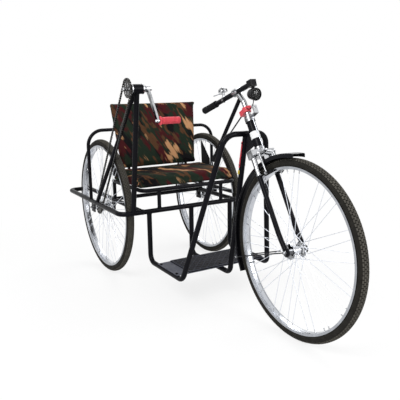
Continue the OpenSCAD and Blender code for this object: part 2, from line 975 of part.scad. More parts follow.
placed() lower_frame();
placed() seat_rails();
placed() seat_posts();
placed() back_struts();
placed() back_hoop();
placed() front_loops();
placed() middle_loop();
placed() head_web();
placed() head_tube();
placed() headset();
placed() head_sleeve();
placed() footboard();
placed() foot_mat();
placed() seat_cushion();
placed() back_cushion();
placed() side_panels();
placed() crank_post();
placed() rear_axles();
placed() chain();
placed() red_cable();
placed() fork();
placed() fork_blades();
placed() stem();
placed() lock_nut();
placed() stem_clip();
placed() tiller_bar();
placed() tiller_grip();
placed() bell();
placed() lamp_perch();
placed() headlamp();
placed() lamp_glass();
placed() lamp_bracket();
placed() brake_lever();
placed() brake_rod();
placed() front_brake();
placed() brake_pads();
placed() front_mudguard();
placed() mudguard_stays();
placed() front_axle();
placed() front_tyre();
placed() front_rim();
placed() front_spokes();
placed() front_hub();
placed() right_tyre();
placed() right_rim();
placed() right_spokes();
placed() right_hub();
placed() right_sprocket();
placed() left_tyre();
placed() left_rim();
placed() left_spokes();
placed() left_hub();
placed() crank_arm();
placed() chainring();
placed() crank_grip();
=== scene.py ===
"""Looks of a hand-propelled mobility tricycle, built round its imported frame."""

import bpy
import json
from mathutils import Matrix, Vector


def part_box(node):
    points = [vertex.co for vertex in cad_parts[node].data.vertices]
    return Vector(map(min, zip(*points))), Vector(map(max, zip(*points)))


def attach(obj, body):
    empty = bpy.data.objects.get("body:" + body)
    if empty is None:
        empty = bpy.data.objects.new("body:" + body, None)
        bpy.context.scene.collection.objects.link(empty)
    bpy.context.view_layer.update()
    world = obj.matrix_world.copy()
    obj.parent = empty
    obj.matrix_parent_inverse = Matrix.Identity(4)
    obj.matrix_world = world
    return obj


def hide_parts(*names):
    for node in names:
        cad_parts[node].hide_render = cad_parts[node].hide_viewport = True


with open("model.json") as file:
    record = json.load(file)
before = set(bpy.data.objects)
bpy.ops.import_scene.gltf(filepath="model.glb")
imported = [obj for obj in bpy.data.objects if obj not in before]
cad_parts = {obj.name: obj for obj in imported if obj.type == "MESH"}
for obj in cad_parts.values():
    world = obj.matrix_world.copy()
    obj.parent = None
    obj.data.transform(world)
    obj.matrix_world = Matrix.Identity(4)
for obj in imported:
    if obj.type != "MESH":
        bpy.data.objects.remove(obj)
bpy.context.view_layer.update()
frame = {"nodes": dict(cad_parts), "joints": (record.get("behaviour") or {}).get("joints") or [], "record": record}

import json
import math

import bmesh
import bpy
from bpy.props import FloatProperty, FloatVectorProperty, IntProperty, PointerProperty
from mathutils import Matrix, Vector, noise

bl_info = {
    "name": "Mobility Tricycle",
    "version": (1, 0, 0),
    "blender": (4, 5, 0),
    "location": "View3D > Sidebar > Tricycle",
    "description": "Dresses the frame of a hand-propelled tricycle with tyres, chain, cushions and finishes",
    "category": "Object",
}

# Places, in millimetres from the rear axles, turned into the shared frame in metres

MM = 0.001
X_AXIS, Y_AXIS, Z_AXIS = Vector((1, 0, 0)), Vector((0, 1, 0)), Vector((0, 0, 1))
PIVOT = {joint["name"]: Vector(joint["pos_m"]) for joint in frame["joints"]}
AXIS = {joint["name"]: Vector(joint["axis"]) for joint in frame["joints"]}
REAR_X = PIVOT["right_wheel_spin"].x
HEAD_UP = AXIS["steer"]
HEAD_FORE = Vector((HEAD_UP.z, 0, -HEAD_UP.x))
TILLER_RISE = math.radians(18)
TILLER_DIR = Vector((math.cos(TILLER_RISE), 0, math.sin(TILLER_RISE)))
TILLER_TOP = Vector((-math.sin(TILLER_RISE), 0, math.cos(TILLER_RISE)))


def at(x, y, z):
    """Place given in millimetres from the rear axles."""
    return Vector((REAR_X + x * MM, y * MM, z * MM))


def on_head(up, fore=0.0, side=0.0):
    """Place on the steering head, in millimetres up its axis, ahead of it and to its left."""
    return PIVOT["steer"] + MM * (up * HEAD_UP + fore * HEAD_FORE + side * Y_AXIS)


def on_tiller(along, top=0.0, side=0.0):
    """Place on the tiller bar, in millimetres ahead of its clamp, above it and to its left."""
    return on_head(284, -22) + MM * (along * TILLER_DIR + top * TILLER_TOP + side * Y_AXIS)


LAMP_AT = on_tiller(108) + MM * Vector((12, 0, -42))
LEVER_TOP = on_head(252, -12)
LEVER_LOW = LEVER_TOP + MM * Vector((-218, 0, -289))
CRANK_AT = PIVOT["crank_spin"]
CRANK_PIN = CRANK_AT + 0.170 * Vector((0.572, 0, -0.82))
CHAIN_Y = sum(corner.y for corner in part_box("chain")) / 2

# Sizes of the wheels in millimetres, worked out from the front tyre's box
TYRE_LOW, TYRE_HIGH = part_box("front_tyre")
TYRE_R = (TYRE_HIGH.y - TYRE_LOW.y) / 2 / MM
RING_R = (TYRE_HIGH.z - TYRE_LOW.z) / 2 / MM - TYRE_R
RIM_IN = RING_R - TYRE_R - 5.5
FLANGE_Y = {"front": 28.0, "right": 20.0, "left": 20.0}
SPOKE_SEAT_R = 26.0
# Side of the hub, step out of its flange, place across the rim, and lean
SPOKE_SETS = ((1, 2.8, 4.6, 1), (1, -2.8, 0.8, -1), (-1, 2.8, 4.6, 1), (-1, -2.8, 0.8, -1))


# What a user would change


def colour(name, description, default):
    return FloatVectorProperty(
        name=name, description=description, default=default, subtype="COLOR", size=3, min=0, max=1)


def length(name, description, default):
    return FloatProperty(
        name=name, description=description, default=default, min=0, subtype="DISTANCE", unit="LENGTH")


def number(name, description, default, least, most):
    return IntProperty(name=name, description=description, default=default, min=least, max=most)


class TricycleSizes(bpy.types.PropertyGroup):
    """Sizes of the tricycle's dressed pieces."""

    tread_blocks: number("Tread blocks", "Blocks in one row of a tyre's tread", 150, 40, 240)
    tread_rows: number("Tread rows", "Rows of blocks across a tyre", 5, 1, 9)
    tread_depth: length("Tread depth", "Height of a tread block", 0.0026)
    chain_links: number("Chain links", "Links in the chain", 140, 60, 240)
    nipple: length("Nipple length", "Length of a spoke nipple", 0.012)
    weld_bead: length("Weld bead", "Radius of one bead of a weld", 0.0021)
    mat_pitch: length("Mat pitch", "Distance between the ribs of the foot mat", 0.017)
    mat_rib: length("Mat rib", "Height of a rib of the foot mat", 0.0020)
    stitch: length("Stitch", "Length of one stitch", 0.0034)
    grip_ribs: number("Grip ribs", "Ribs round a hand grip", 11, 3, 30)
    swell: length("Cushion swell", "Most that a cushion's cover stands out under its filling", 0.007)


class TricycleColours(bpy.types.PropertyGroup):
    """Colours of the tricycle's finishes."""

    paint: colour("Paint", "Gloss paint of the tubes", (0.0050, 0.0050, 0.0068))
    chrome: colour("Chrome", "Bright plated metal", (0.60, 0.61, 0.63))
    rim: colour("Rim chrome", "Plated metal of rims and spokes", (0.56, 0.58, 0.62))
    steel: colour("Chain steel", "Oiled steel of the chain", (0.034, 0.032, 0.030))
    rubber: colour("Rubber", "Black rubber", (0.0100, 0.0100, 0.0112))
    mat: colour("Mat", "Grey rubber of the foot mat", (0.052, 0.055, 0.072))
    tread: colour("Tread", "Rubber of the tyre's tread", (0.062, 0.058, 0.050))
    sidewall: colour("Sidewall", "Rubber of the tyre's side", (0.016, 0.015, 0.013))
    red: colour("Red", "Red rubber and plastic", (0.56, 0.066, 0.084))
    sheet: colour("Platform sheet", "Paint of the foot platform", (0.078, 0.083, 0.105))
    white: colour("Sleeve", "Pale plastic of the head's sleeve", (0.78, 0.80, 0.80))
    yellow: colour("Cable end", "Yellow plastic at the end of the red cable", (0.55, 0.42, 0.06))
    backing: colour("Backing", "Black cloth behind and below the cushions", (0.012, 0.012, 0.013))
    thread: colour("Thread", "Dark thread that the covers are sewn with", (0.030, 0.026, 0.020))
    leaf: colour("Leaf green", "Dark green ground of the printed cloth", (0.0140, 0.0225, 0.0150))
    night: colour("Night", "Black patches of the printed cloth", (0.0075, 0.0070, 0.0080))
    bark: colour("Bark", "Red-brown patches of the printed cloth", (0.050, 0.0095, 0.0110))
    earth: colour("Earth", "Brown patches of the printed cloth", (0.078, 0.037, 0.019))
    sand: colour("Sand", "Tan strokes of the printed cloth", (0.44, 0.235, 0.115))


# Meshes made in code: points in metres, radii and profiles in millimetres


def circle(axis, sides):
    """Directions round an axis, evenly spaced."""
    across = axis.orthogonal().normalized()
    other = axis.cross(across)
    angles = [2 * math.pi * i / sides for i in range(sides)]
    return [math.cos(angle) * across + math.sin(angle) * other for angle in angles]


def disc(radius, height):
    """Profile of a plain round plate or pin."""
    return [(0, 0), (radius, 0), (radius, height), (0, height)]


class Shape:
    """Vertices and faces gathered before they become one mesh; a face's kind picks its finish."""

    def __init__(self):
        self.verts, self.faces, self.kinds = [], [], []

    def add(self, verts, faces, kinds=None):
        base = len(self.verts)
        self.verts += [Vector(v) for v in verts]
        self.faces += [[base + i for i in face] for face in faces]
        self.kinds += kinds or [0] * len(faces)
        return self

    def block(self, centre, size, turn):
        """Block with its edges taken off, turned by a 3 x 3 matrix."""
        bm = bmesh.new()
        bmesh.ops.create_cube(bm, size=1)
        bmesh.ops.scale(bm, vec=MM * Vector(size), verts=bm.verts)
        bmesh.ops.bevel(
            bm, geom=bm.edges[:], offset=MM * min(size) * 0.12, segments=2, profile=0.5, affect="EDGES")
        bm.verts.index_update()
        verts = [centre + turn @ v.co for v in bm.verts]
        faces = [[v.index for v in face.verts] for face in bm.faces]
        bm.free()
        return self.add(verts, faces)

    def lathe(self, start, axis, profile, sides=32, closed=False, kinds=None):
        """Turned piece: the profile is (radius, along) from start along axis."""
        axis = Vector(axis).normalized()
        outward = circle(axis, sides)
        verts, rings, faces, marks = [], [], [], []
        for radius, along in profile:
            ring = outward if radius > 0 else outward[:1]
            rings.append(range(len(verts), len(verts) + len(ring)))
            verts += [Vector(start) + MM * (along * axis + radius * out) for out in ring]
        pairs = list(zip(rings, rings[1:])) + ([(rings[-1], rings[0])] if closed else [])
        for step, (a, b) in enumerate(pairs):
            for i in range(sides):
                j = (i + 1) % sides
                quad = (a[i % len(a)], a[j % len(a)], b[j % len(b)], b[i % len(b)])
                face = list(dict.fromkeys(quad))
                if len(face) > 2:
                    faces.append(face)
                    marks.append(kinds[step] if kinds else 0)
        return self.add(verts, faces, marks)

    def sweep(self, points, radius, sides=10, closed=False):
        """Round bar along points."""
        count = len(points)
        ahead = []
        for i in range(count):
            before = points[i - 1] if (closed or i > 0) else points[i]
            after = points[(i + 1) % count] if (closed or i < count - 1) else points[i]
            ahead.append((after - before).normalized())
        across = ahead[0].orthogonal().normalized()
        verts = []
        for p, t in zip(points, ahead):
            across = (across - across.dot(t) * t).normalized()
            other = t.cross(across)
            for k in range(sides):
                angle = 2 * math.pi * k / sides
                verts.append(p + MM * radius * (math.cos(angle) * across + math.sin(angle) * other))
        faces = []
        for i in range(count if closed else count - 1):
            j = (i + 1) % count
            for k in range(sides):
                m = (k + 1) % sides
                faces.append([i * sides + k, i * sides + m, j * sides + m, j * sides + k])
        if not closed:
            faces.append(list(range(sides))[::-1])
            faces.append([(count - 1) * sides + k for k in range(sides)])
        return self.add(verts, faces)

    def mesh(self, name):
        made = bpy.data.meshes.new(name)
        made.from_pydata(self.verts, [], self.faces)
        made.polygons.foreach_set("material_index", self.kinds)
        bm = bmesh.new()
        bm.from_mesh(made)
        bmesh.ops.remove_doubles(bm, verts=bm.verts, dist=1e-7)
        bmesh.ops.recalc_face_normals(bm, faces=bm.faces)
        bm.to_mesh(made)
        bm.free()
        return made


def linked(name, data):
    """Object for some data, put in the scene."""
    made = bpy.data.objects.new(name, data)
    bpy.context.scene.collection.objects.link(made)
    return made


def applied(holder):
    """Plain mesh of an object with its modifiers."""
    bpy.context.view_layer.update()
    graph = bpy.context.evaluated_depsgraph_get()
    return bpy.data.meshes.new_from_object(holder.evaluated_get(graph))


FINISHES = {}


def piece(name, mesh, finishes, body, replaces=(), sharp=38):
    """Object for a finished mesh or a Shape, riding on a body, with its finishes as materials in order."""
    if isinstance(mesh, Shape):
        mesh = mesh.mesh(name)
    finishes = [finishes] if isinstance(finishes, str) else finishes
    mesh.name = name
    kinds = [face.material_index for face in mesh.polygons]
    mesh.materials.clear()
    for finish in finishes:
        mesh.materials.append(FINISHES[finish])
    mesh.polygons.foreach_set("material_index", kinds)
    mesh.shade_smooth()
    mesh.set_sharp_from_angle(angle=math.radians(sharp))
    made = linked(name, mesh)
    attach(made, body)
    if replaces:
        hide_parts(*replaces)
    return made


# Node trees


class Value:
    """Output of a node that sums can be written with: each step adds a Math node to its tree."""

    def __init__(self, tree, socket):
        self.tree, self.socket = tree, socket

    def reckon(self, operation, other=0.0):
        return put(self.tree, "ShaderNodeMath", {0: self, 1: other}, operation=operation)

    def __add__(self, other):
        return self.reckon("ADD", other)

    def __sub__(self, other):
        return self.reckon("SUBTRACT", other)

    def __rsub__(self, other):
        return put(self.tree, "ShaderNodeMath", {0: other, 1: self}, operation="SUBTRACT")

    def __mul__(self, other):
        return self.reckon("MULTIPLY", other)

    def __truediv__(self, other):
        return self.reckon("DIVIDE", other)

    def __mod__(self, other):
        return self.reckon("MODULO", other)


def put(tree, kind, inputs=None, output=0, **settings):
    """One node with its settings, its inputs linked or set; gives one of its outputs."""
    node = tree.nodes.new(kind)
    for key, value in settings.items():
        setattr(node, key, value)
    for key, value in (inputs or {}).items():
        if isinstance(value, Value):
            tree.links.new(value.socket, node.inputs[key])
        else:
            node.inputs[key].default_value = value
    return Value(tree, node.outputs[output])


def vector(tree, x, y, z):
    return put(tree, "ShaderNodeCombineXYZ", {0: x, 1: y, 2: z})


def socket_type(default):
    """Type of socket for a default value; a word stands for a type with no default."""
    if isinstance(default, str):
        return "NodeSocket" + default
    if isinstance(default, tuple):
        return "NodeSocketVector" if len(default) == 3 else "NodeSocketColor"
    return "NodeSocketInt" if isinstance(default, int) else "NodeSocketFloat"


def new_tree(name, kind, inputs, label, output):
    """Node tree with named inputs and one output; gives the tree and its inputs."""
    tree = bpy.data.node_groups.new(name, kind)
    for key, default in inputs.items():
        made = tree.interface.new_socket(name=key, in_out="INPUT", socket_type=socket_type(default))
        if not isinstance(default, str):
            made.default_value = default
    tree.interface.new_socket(name=label, in_out="OUTPUT", socket_type=socket_type(output))
    source = tree.nodes.new("NodeGroupInput").outputs
    return tree, {key: Value(tree, source[key]) for key in inputs}


def ended(tree, result):
    """The tree, with a result at its output."""
    tree.links.new(result.socket, tree.nodes.new("NodeGroupOutput").inputs[0])
    return tree


def geometry_tree(name, inputs):
    sockets = {"Geometry": "Geometry", **inputs, "Finish": "Material"}
    return new_tree(name, "GeometryNodeTree", sockets, "Geometry", "Geometry")


def coated(tree, given, instances):
    """The tree, ending in its realized instances with their material."""
    real = put(tree, "GeometryNodeRealizeInstances", {"Geometry": instances})
    return ended(tree, put(tree, "GeometryNodeSetMaterial", {"Geometry": real, "Material": given["Finish"]}))


def on_points(tree, points, shape, **inputs):
    return put(tree, "GeometryNodeInstanceOnPoints", {"Points": points, "Instance": shape, **inputs})


def moved(tree, geometry, by):
    return put(tree, "GeometryNodeTransform", {"Geometry": geometry, "Translation": by})


def aligned(tree, axis, direction, start=None, pivot="AUTO"):
    inputs = {"Vector": direction} if start is None else {"Vector": direction, "Rotation": start}
    return put(tree, "FunctionNodeAlignRotationToVector", inputs, axis=axis, pivot_axis=pivot)


def object_in(tree, chosen):
    return put(tree, "GeometryNodeObjectInfo", {"Object": chosen}, "Geometry")


def spaced(tree, lines, mode, **spacing):
    """Even points along the edges of a mesh."""
    curve = put(tree, "GeometryNodeMeshToCurve", {"Mesh": lines})
    return put(tree, "GeometryNodeResampleCurve", {"Curve": curve, **spacing}, mode=mode)


def tread_tree():
    """Rows of blocks round a tyre, each row half a block on from the last."""
    tree, given = geometry_tree("Tyre tread", {
        "Blocks": 120, "Rows": 5, "Ring radius": 0.33, "Tyre radius": 0.018, "Row angle": 0.3,
        "Block": (0.01, 0.005, 0.002), "Centre": (0, 0, 0)})
    blocks, rows, tyre = given["Blocks"], given["Rows"], given["Tyre radius"]
    index = put(tree, "GeometryNodeInputIndex")
    row = (index / blocks).reckon("FLOOR")
    turned = (index - row * blocks + row % 2.0 * 0.5) / blocks * (2 * math.pi)
    tilt = (row - (rows - 1.0) * 0.5) * given["Row angle"]
    cos_turned, sin_turned = turned.reckon("COSINE"), turned.reckon("SINE")
    cos_tilt, sin_tilt = tilt.reckon("COSINE"), tilt.reckon("SINE")
    reach = given["Ring radius"] + tyre * cos_tilt
    place = vector(tree, reach * cos_turned, tyre * sin_tilt, reach * sin_turned)
    outward = vector(tree, cos_tilt * cos_turned, sin_tilt, cos_tilt * sin_turned)
    along = vector(tree, sin_turned * -1.0, 0.0, cos_turned)
    points = put(tree, "GeometryNodePoints", {"Count": blocks * rows, "Position": place})
    block = put(tree, "GeometryNodeMeshCube", {"Size": given["Block"]})
    turn = aligned(tree, "X", along, aligned(tree, "Z", outward), "Z")
    return coated(tree, given, moved(tree, on_points(tree, points, block, Rotation=turn), given["Centre"]))


def chain_tree():
    """Inner and outer links by turns along a closed line."""
    tree, given = geometry_tree("Chain links", {
        "Links": 140, "Inner link": "Object", "Outer link": "Object"})
    even = spaced(tree, given["Geometry"], "COUNT", Count=given["Links"])
    turn = aligned(tree, "X", put(tree, "GeometryNodeInputTangent"), None, "Y")
    odd = put(tree, "GeometryNodeInputIndex") % 2.0
    both = put(tree, "GeometryNodeJoinGeometry")
    for label, chosen in (("Inner link", 1.0 - odd), ("Outer link", odd)):
        links = on_points(tree, even, object_in(tree, given[label]), Selection=chosen, Rotation=turn)
        tree.links.new(links.socket, both.socket.node.inputs[0])
    return coated(tree, given, both)


def set_out_tree():
    """One shape on each point, its Z axis along the point's aim."""
    tree, given = geometry_tree("Set out", {"Shape": "Object", "Size": 1.0})
    aim = put(tree, "GeometryNodeInputNamedAttribute", {"Name": "aim"}, data_type="FLOAT_VECTOR")
    shape = object_in(tree, given["Shape"])
    turn = aligned(tree, "Z", aim)
    return coated(tree, given, on_points(
        tree, given["Geometry"], shape, Rotation=turn, Scale=given["Size"]))


def bead_tree():
    """Row of flattened beads along lines: welds, and stitches where they are long and apart."""
    tree, given = geometry_tree("Beads on a line", {"Step": 0.002, "Bead": (0.001, 0.002, 0.002)})
    even = spaced(tree, given["Geometry"], "LENGTH", Length=given["Step"])
    bead = put(tree, "GeometryNodeMeshUVSphere", {"Segments": 8, "Rings": 5, "Radius": 1.0})
    turn = aligned(tree, "X", put(tree, "GeometryNodeInputTangent"))
    return coated(tree, given, on_points(tree, even, bead, Rotation=turn, Scale=given["Bead"]))


def mat_tree():
    """Short ribs set crosswise in rows and columns on a flat mat."""
    tree, given = geometry_tree("Mat ribs", {
        "Length": 0.19, "Width": 0.4, "Pitch": 0.0125, "Rib": (0.012, 0.003, 0.002), "Centre": (0, 0, 0)})
    columns, rows = [(given[side] / given["Pitch"]).reckon("FLOOR") for side in ("Length", "Width")]
    grid = put(tree, "GeometryNodeMeshGrid", {
        "Size X": given["Length"], "Size Y": given["Width"], "Vertices X": columns, "Vertices Y": rows})
    index = put(tree, "GeometryNodeInputIndex")
    column = (index / rows).reckon("FLOOR")
    crosswise = (index + column * (rows + 1.0)) % 2.0
    angle = (crosswise - 0.5) * (math.pi / 2)
    turn = put(tree, "FunctionNodeEulerToRotation", {0: vector(tree, 0.0, 0.0, angle)})
    rib = put(tree, "GeometryNodeMeshCube", {"Size": given["Rib"]})
    return coated(tree, given, moved(tree, on_points(tree, grid, rib, Rotation=turn), given["Centre"]))


def lines_mesh(name, lines):
    """Mesh of edges along closed lists of points."""
    verts, edges = [], []
    for line in lines:
        base, count = len(verts), len(line)
        verts += line
        edges += [(base + i, base + (i + 1) % count) for i in range(count)]
    made = bpy.data.meshes.new(name)
    made.from_pydata(verts, edges, [])
    return made


def aimed_points(name, points):
    """Mesh of loose points that each carry a direction."""
    made = bpy.data.meshes.new(name)
    made.from_pydata([place for place, _ in points], [], [])
    aims = made.attributes.new("aim", "FLOAT_VECTOR", "POINT")
    for row, (_, aim) in zip(aims.data, points):
        row.vector = aim
    return made


def tree_named(name):
    return bpy.data.node_groups.get(name) or TREES[name]()


def grow(name, tree_name, values, finish, body, base=None, replaces=(), sharp=38):
    """Piece that a tree makes from its named inputs, as a plain mesh."""
    tree = tree_named(tree_name)
    values = {**values, "Finish": FINISHES[finish]}
    holder = linked(name + "_holder", base or bpy.data.meshes.new(name + "_base"))
    modifier = holder.modifiers.new(name, "NODES")
    modifier.node_group = tree
    for item in tree.interface.items_tree:
        if item.item_type == "SOCKET" and item.in_out == "INPUT" and item.name in values:
            modifier[item.identifier] = values[item.name]
    made = applied(holder)
    holder.modifiers.clear()
    bpy.data.objects.remove(holder)
    return piece(name, made, finish, body, replaces, sharp)


def set_out(name, shape, points, finish, body, size=1.0, sharp=38):
    """Piece with a copy of a shape on each aimed point."""
    pattern = linked(name + "_pattern", shape.mesh(name + "_pattern"))
    made = grow(name, "Set out", {"Shape": pattern, "Size": size}, finish, body,
                aimed_points(name + "_points", points), sharp=sharp)
    bpy.data.objects.remove(pattern)
    return made


# Shared shader effects


def mixed(tree, factor, first, second):
    return put(tree, "ShaderNodeMix", {0: factor, 6: first, 7: second}, 2, data_type="RGBA")


def ranged(tree, value, low, high, new_low=0.0, new_high=1.0):
    return put(tree, "ShaderNodeMapRange", {0: value, 1: low, 2: high, 3: new_low, 4: new_high})


def noise_of(tree, where, scale, detail, rough, distortion=0.0):
    return put(tree, "ShaderNodeTexNoise", {
        "Vector": where, "Scale": scale, "Detail": detail, "Roughness": rough, "Distortion": distortion})


def shader_group(name, inputs, label, output=0.0):
    return new_tree(name, "ShaderNodeTree", {"Vector": "Vector", **inputs}, label, output)


def normal_of(tree):
    return put(tree, "ShaderNodeNewGeometry", output="Normal")


def patches_group():
    """Uneven patches, as of handling, polish or scuffs."""
    tree, given = shader_group("Patches", {"Scale": 20.0, "Cover": 0.5}, "Mask")
    spots = noise_of(tree, given["Vector"], given["Scale"], 6.0, 0.65)
    level = 1.0 - given["Cover"]
    return ended(tree, ranged(tree, spots, level - 0.12, level + 0.12))


def grain_group():
    """Fine grain of a moulded or sprayed surface."""
    tree, given = shader_group("Grain", {"Scale": 800.0}, "Height")
    return ended(tree, noise_of(tree, given["Vector"], given["Scale"], 2.0, 0.5))


def dust_group():
    """Dust on what faces up, broken by noise."""
    tree, given = shader_group("Settled dust", {"Scale": 30.0, "Amount": 0.3}, "Mask")
    height = put(tree, "ShaderNodeSeparateXYZ", {0: normal_of(tree)}, "Z")
    upward = ranged(tree, height, 0.2, 1.0)
    broken = ranged(tree, noise_of(tree, given["Vector"], given["Scale"], 5.0, 0.7), 0.35, 0.75)
    return ended(tree, upward * broken * given["Amount"])


def scratches_group():
    """Fine scratches that run three ways."""
    tree, given = shader_group("Scratches", {"Scale": 40.0}, "Mask")
    ways = []
    for turn in ((0.3, 0.2, 0.5), (1.2, 0.7, 2.1), (2.4, 1.6, 0.9)):
        spun = put(tree, "ShaderNodeMapping", {
            "Vector": given["Vector"], "Rotation": turn, "Scale": (1.0, 14.0, 1.0)})
        ways.append(ranged(tree, noise_of(tree, spun, given["Scale"], 2.0, 0.5), 0.70, 0.76))
    return ended(tree, ways[0].reckon("MAXIMUM", ways[1]).reckon("MAXIMUM", ways[2]))


def mirror_group():
    """Painted reflection: light and dark bands painted into a colour, as a curved plated surface gathers from a
    room about it.
    """
    tree, given = shader_group("Mirror bands", {"Bands": 5.0}, "Mask")
    lean = put(tree, "ShaderNodeVectorMath", {0: normal_of(tree), 1: (0.9, 1.25, 0.7)}, "Value",
               operation="DOT_PRODUCT")
    drift = noise_of(tree, given["Vector"], 30.0, 2.0, 0.5) * 1.6
    return ended(tree, ranged(tree, (lean * given["Bands"] + drift).reckon("SINE"), 0.15, 0.85))


def weave_group():
    """Plain weave: threads across (Y) and threads along (X and Z together)."""
    tree, given = shader_group("Plain weave", {"Threads": 900.0}, "Height")
    node = put(tree, "ShaderNodeSeparateXYZ", {0: given["Vector"]}).socket.node
    x, y, z = [Value(tree, socket) for socket in node.outputs]
    turns = given["Threads"] * math.pi
    warp, weft = (y * turns).reckon("SINE"), ((x + z) * turns).reckon("SINE")
    threads = warp.reckon("ABSOLUTE") + weft.reckon("ABSOLUTE")
    return ended(tree, ranged(tree, warp * weft * 0.35 + threads, 0.0, 2.2))


def camouflage_group():
    """Generic splashed camouflage: slanting strokes of five plain colours."""
    labels = ("Leaf", "Night", "Bark", "Earth", "Sand")
    tree, given = shader_group(
        "Camouflage", {"Scale": 15.0, **{label: (0, 0, 0, 1) for label in labels}}, "Color", "Color")
    slant, fibres = [
        put(tree, "ShaderNodeMapping",
            {"Vector": given["Vector"], "Rotation": (0.0, 0.0, math.radians(32)), "Scale": size},
            vector_type="TEXTURE")
        for size in ((2.3, 1.0, 1.0), (2.6, 0.20, 1.0))]
    brush = (noise_of(tree, fibres, given["Scale"], 3.0, 0.6) - 0.5) * 0.30
    made = given["Leaf"]
    # Colour, share of the scale, shift of the noise, and the level above which it shows
    layers = (("Night", 0.62, (0.0, 0.0, 0.0), 0.53), ("Bark", 0.95, (3.1, 1.7, 0.6), 0.570),
              ("Earth", 1.35, (7.3, 4.4, 2.2), 0.610), ("Sand", 1.05, (12.6, 8.1, 5.7), 0.635))
    for label, size, shift, level in layers:
        shifted = put(tree, "ShaderNodeVectorMath", {0: slant, 1: shift}, operation="ADD")
        blot = noise_of(tree, shifted, given["Scale"] * size, 2.0, 0.5, 0.25)
        made = mixed(tree, ranged(tree, blot + brush, level - 0.02, level + 0.03), made, given[label])
    return ended(tree, made)


TREES = {
    "Tyre tread": tread_tree, "Chain links": chain_tree, "Set out": set_out_tree,
    "Beads on a line": bead_tree, "Mat ribs": mat_tree, "Patches": patches_group, "Grain": grain_group,
    "Settled dust": dust_group, "Scratches": scratches_group, "Plain weave": weave_group,
    "Mirror bands": mirror_group, "Camouflage": camouflage_group,
}


# Finishes


class Finish:
    """One material: a Principled surface with its Object coordinates and shared effects."""

    def __init__(self, name, **sockets):
        self.material = bpy.data.materials.new(name)
        self.material.use_nodes = True
        self.tree = self.material.node_tree
        self.surface = self.tree.nodes["Principled BSDF"]
        self.where = put(self.tree, "ShaderNodeTexCoord", output="Object")
        for label, value in sockets.items():
            self.set(label.replace("_", " ").title().replace("Ior", "IOR"), value)

    def set(self, label, value):
        socket = self.surface.inputs[label]
        if isinstance(value, Value):
            self.tree.links.new(value.socket, socket)
        else:
            socket.default_value = (*value[:3], 1.0) if socket.type == "RGBA" else value

    def effect(self, group, where=None, **inputs):
        return put(self.tree, "ShaderNodeGroup", {"Vector": where or self.where, **inputs},
                   node_tree=tree_named(group))

    def mix(self, factor, first, second):
        pair = [tone if isinstance(tone, Value) else (*tone[:3], 1.0) for tone in (first, second)]
        return mixed(self.tree, factor, *pair)

    def bump(self, height, strength, distance):
        self.set("Normal", put(self.tree, "ShaderNodeBump", {
            "Height": height, "Strength": strength, "Distance": distance}))

    def rough(self, mask, low, high):
        self.set("Roughness", ranged(self.tree, mask, 0.0, 1.0, low, high))


DUST = (0.30, 0.28, 0.25)
FADED = (0.25, 0.22, 0.18)
CLOTH_MAP = "cloth"
# Frame pieces whose finish differs from that of their slot; the bell, headset, front brake and lock nut take a
# darker copy of the chrome as painted shade, and the spokes a brighter copy of the rim chrome as painted light
OWN_FINISH = {
    "tyre": "tread", "rim": "rim_chrome", "spokes": "spoke_chrome", "bell": "dark_chrome",
    "headset": "dark_chrome", "front_brake": "dark_chrome", "lock_nut": "dark_chrome",
    "chainring": "chain_steel",
}


def shade(tone, factor):
    return tuple(min(1.0, c * factor) for c in tone)


def painted(name, tone, rough, dust):
    f = Finish(name, coat_weight=0.02, coat_roughness=0.06, specular_ior_level=0.05)
    worn = f.mix(f.effect("Scratches", Scale=26.0), tone, shade(tone, 1.9))
    f.set("Base Color", f.mix(f.effect("Settled dust", Scale=34.0, Amount=dust), worn, DUST))
    f.rough(f.effect("Patches", Scale=22.0, Cover=0.45), rough, rough + 0.16)
    f.bump(f.effect("Grain", Scale=520.0), 0.06, 0.0004)
    return f.material


def plated(name, tone, rough, dark=0.0):
    """Plated metal with painted reflection bands in its colour; dark is how much of the bands' light is taken
    away.
    """
    f = Finish(name, metallic=1.0)
    handling_and_reflection = f.mix(f.effect("Patches", Scale=60.0, Cover=0.38), tone, shade(tone, 0.74))
    if dark:
        # Painted reflection: the mirror bands darken the handled colour
        handling_and_reflection = f.mix(f.effect("Mirror bands", Bands=5.0), handling_and_reflection, shade(tone, 1.0 - dark))
    f.set("Base Color", handling_and_reflection)
    f.rough(f.effect("Scratches", Scale=60.0), rough, rough + 0.22)
    f.bump(f.effect("Grain", Scale=1500.0), 0.03, 0.0002)
    return f.material


def rubbery(name, tone, rough, dust, grain=900.0):
    f = Finish(name, specular_ior_level=0.05)
    dulled = f.mix(f.effect("Patches", Scale=45.0, Cover=0.42), tone, shade(tone, 1.5))
    f.set("Base Color", f.mix(f.effect("Settled dust", Scale=60.0, Amount=dust), dulled, DUST))
    f.rough(f.effect("Patches", Scale=80.0, Cover=0.5), rough, min(1.0, rough + 0.14))
    f.bump(f.effect("Grain", Scale=grain), 0.25, 0.0004)
    return f.material


def moulded(name, tone, rough):
    f = Finish(name, specular_ior_level=0.12)
    f.set("Base Color", f.mix(f.effect("Patches", Scale=70.0, Cover=0.35), tone, shade(tone, 0.72)))
    f.rough(f.effect("Scratches", Scale=50.0), rough, rough + 0.2)
    f.bump(f.effect("Grain", Scale=1100.0), 0.08, 0.0003)
    return f.material


def cloth(name, threads, tone=None, print_colours=None):
    """Woven cloth of one tone, or printed in the camouflage's colours."""
    f = Finish(name, roughness=0.82, sheen_weight=0.01, sheen_roughness=0.5, specular_ior_level=0.03)
    if print_colours:
        laid = put(f.tree, "ShaderNodeUVMap", uv_map=CLOTH_MAP)
        tone = f.effect("Camouflage", laid, Scale=17.0, **print_colours)
        worn = f.mix(f.effect("Patches", Scale=30.0, Cover=0.30), tone, f.mix(0.05, tone, FADED))
    else:
        worn = f.mix(f.effect("Patches", Scale=30.0, Cover=0.4), tone, shade(tone, 1.6))
    f.set("Base Color", worn)
    f.bump(f.effect("Plain weave", Threads=threads), 0.35, 0.0005)
    return f.material


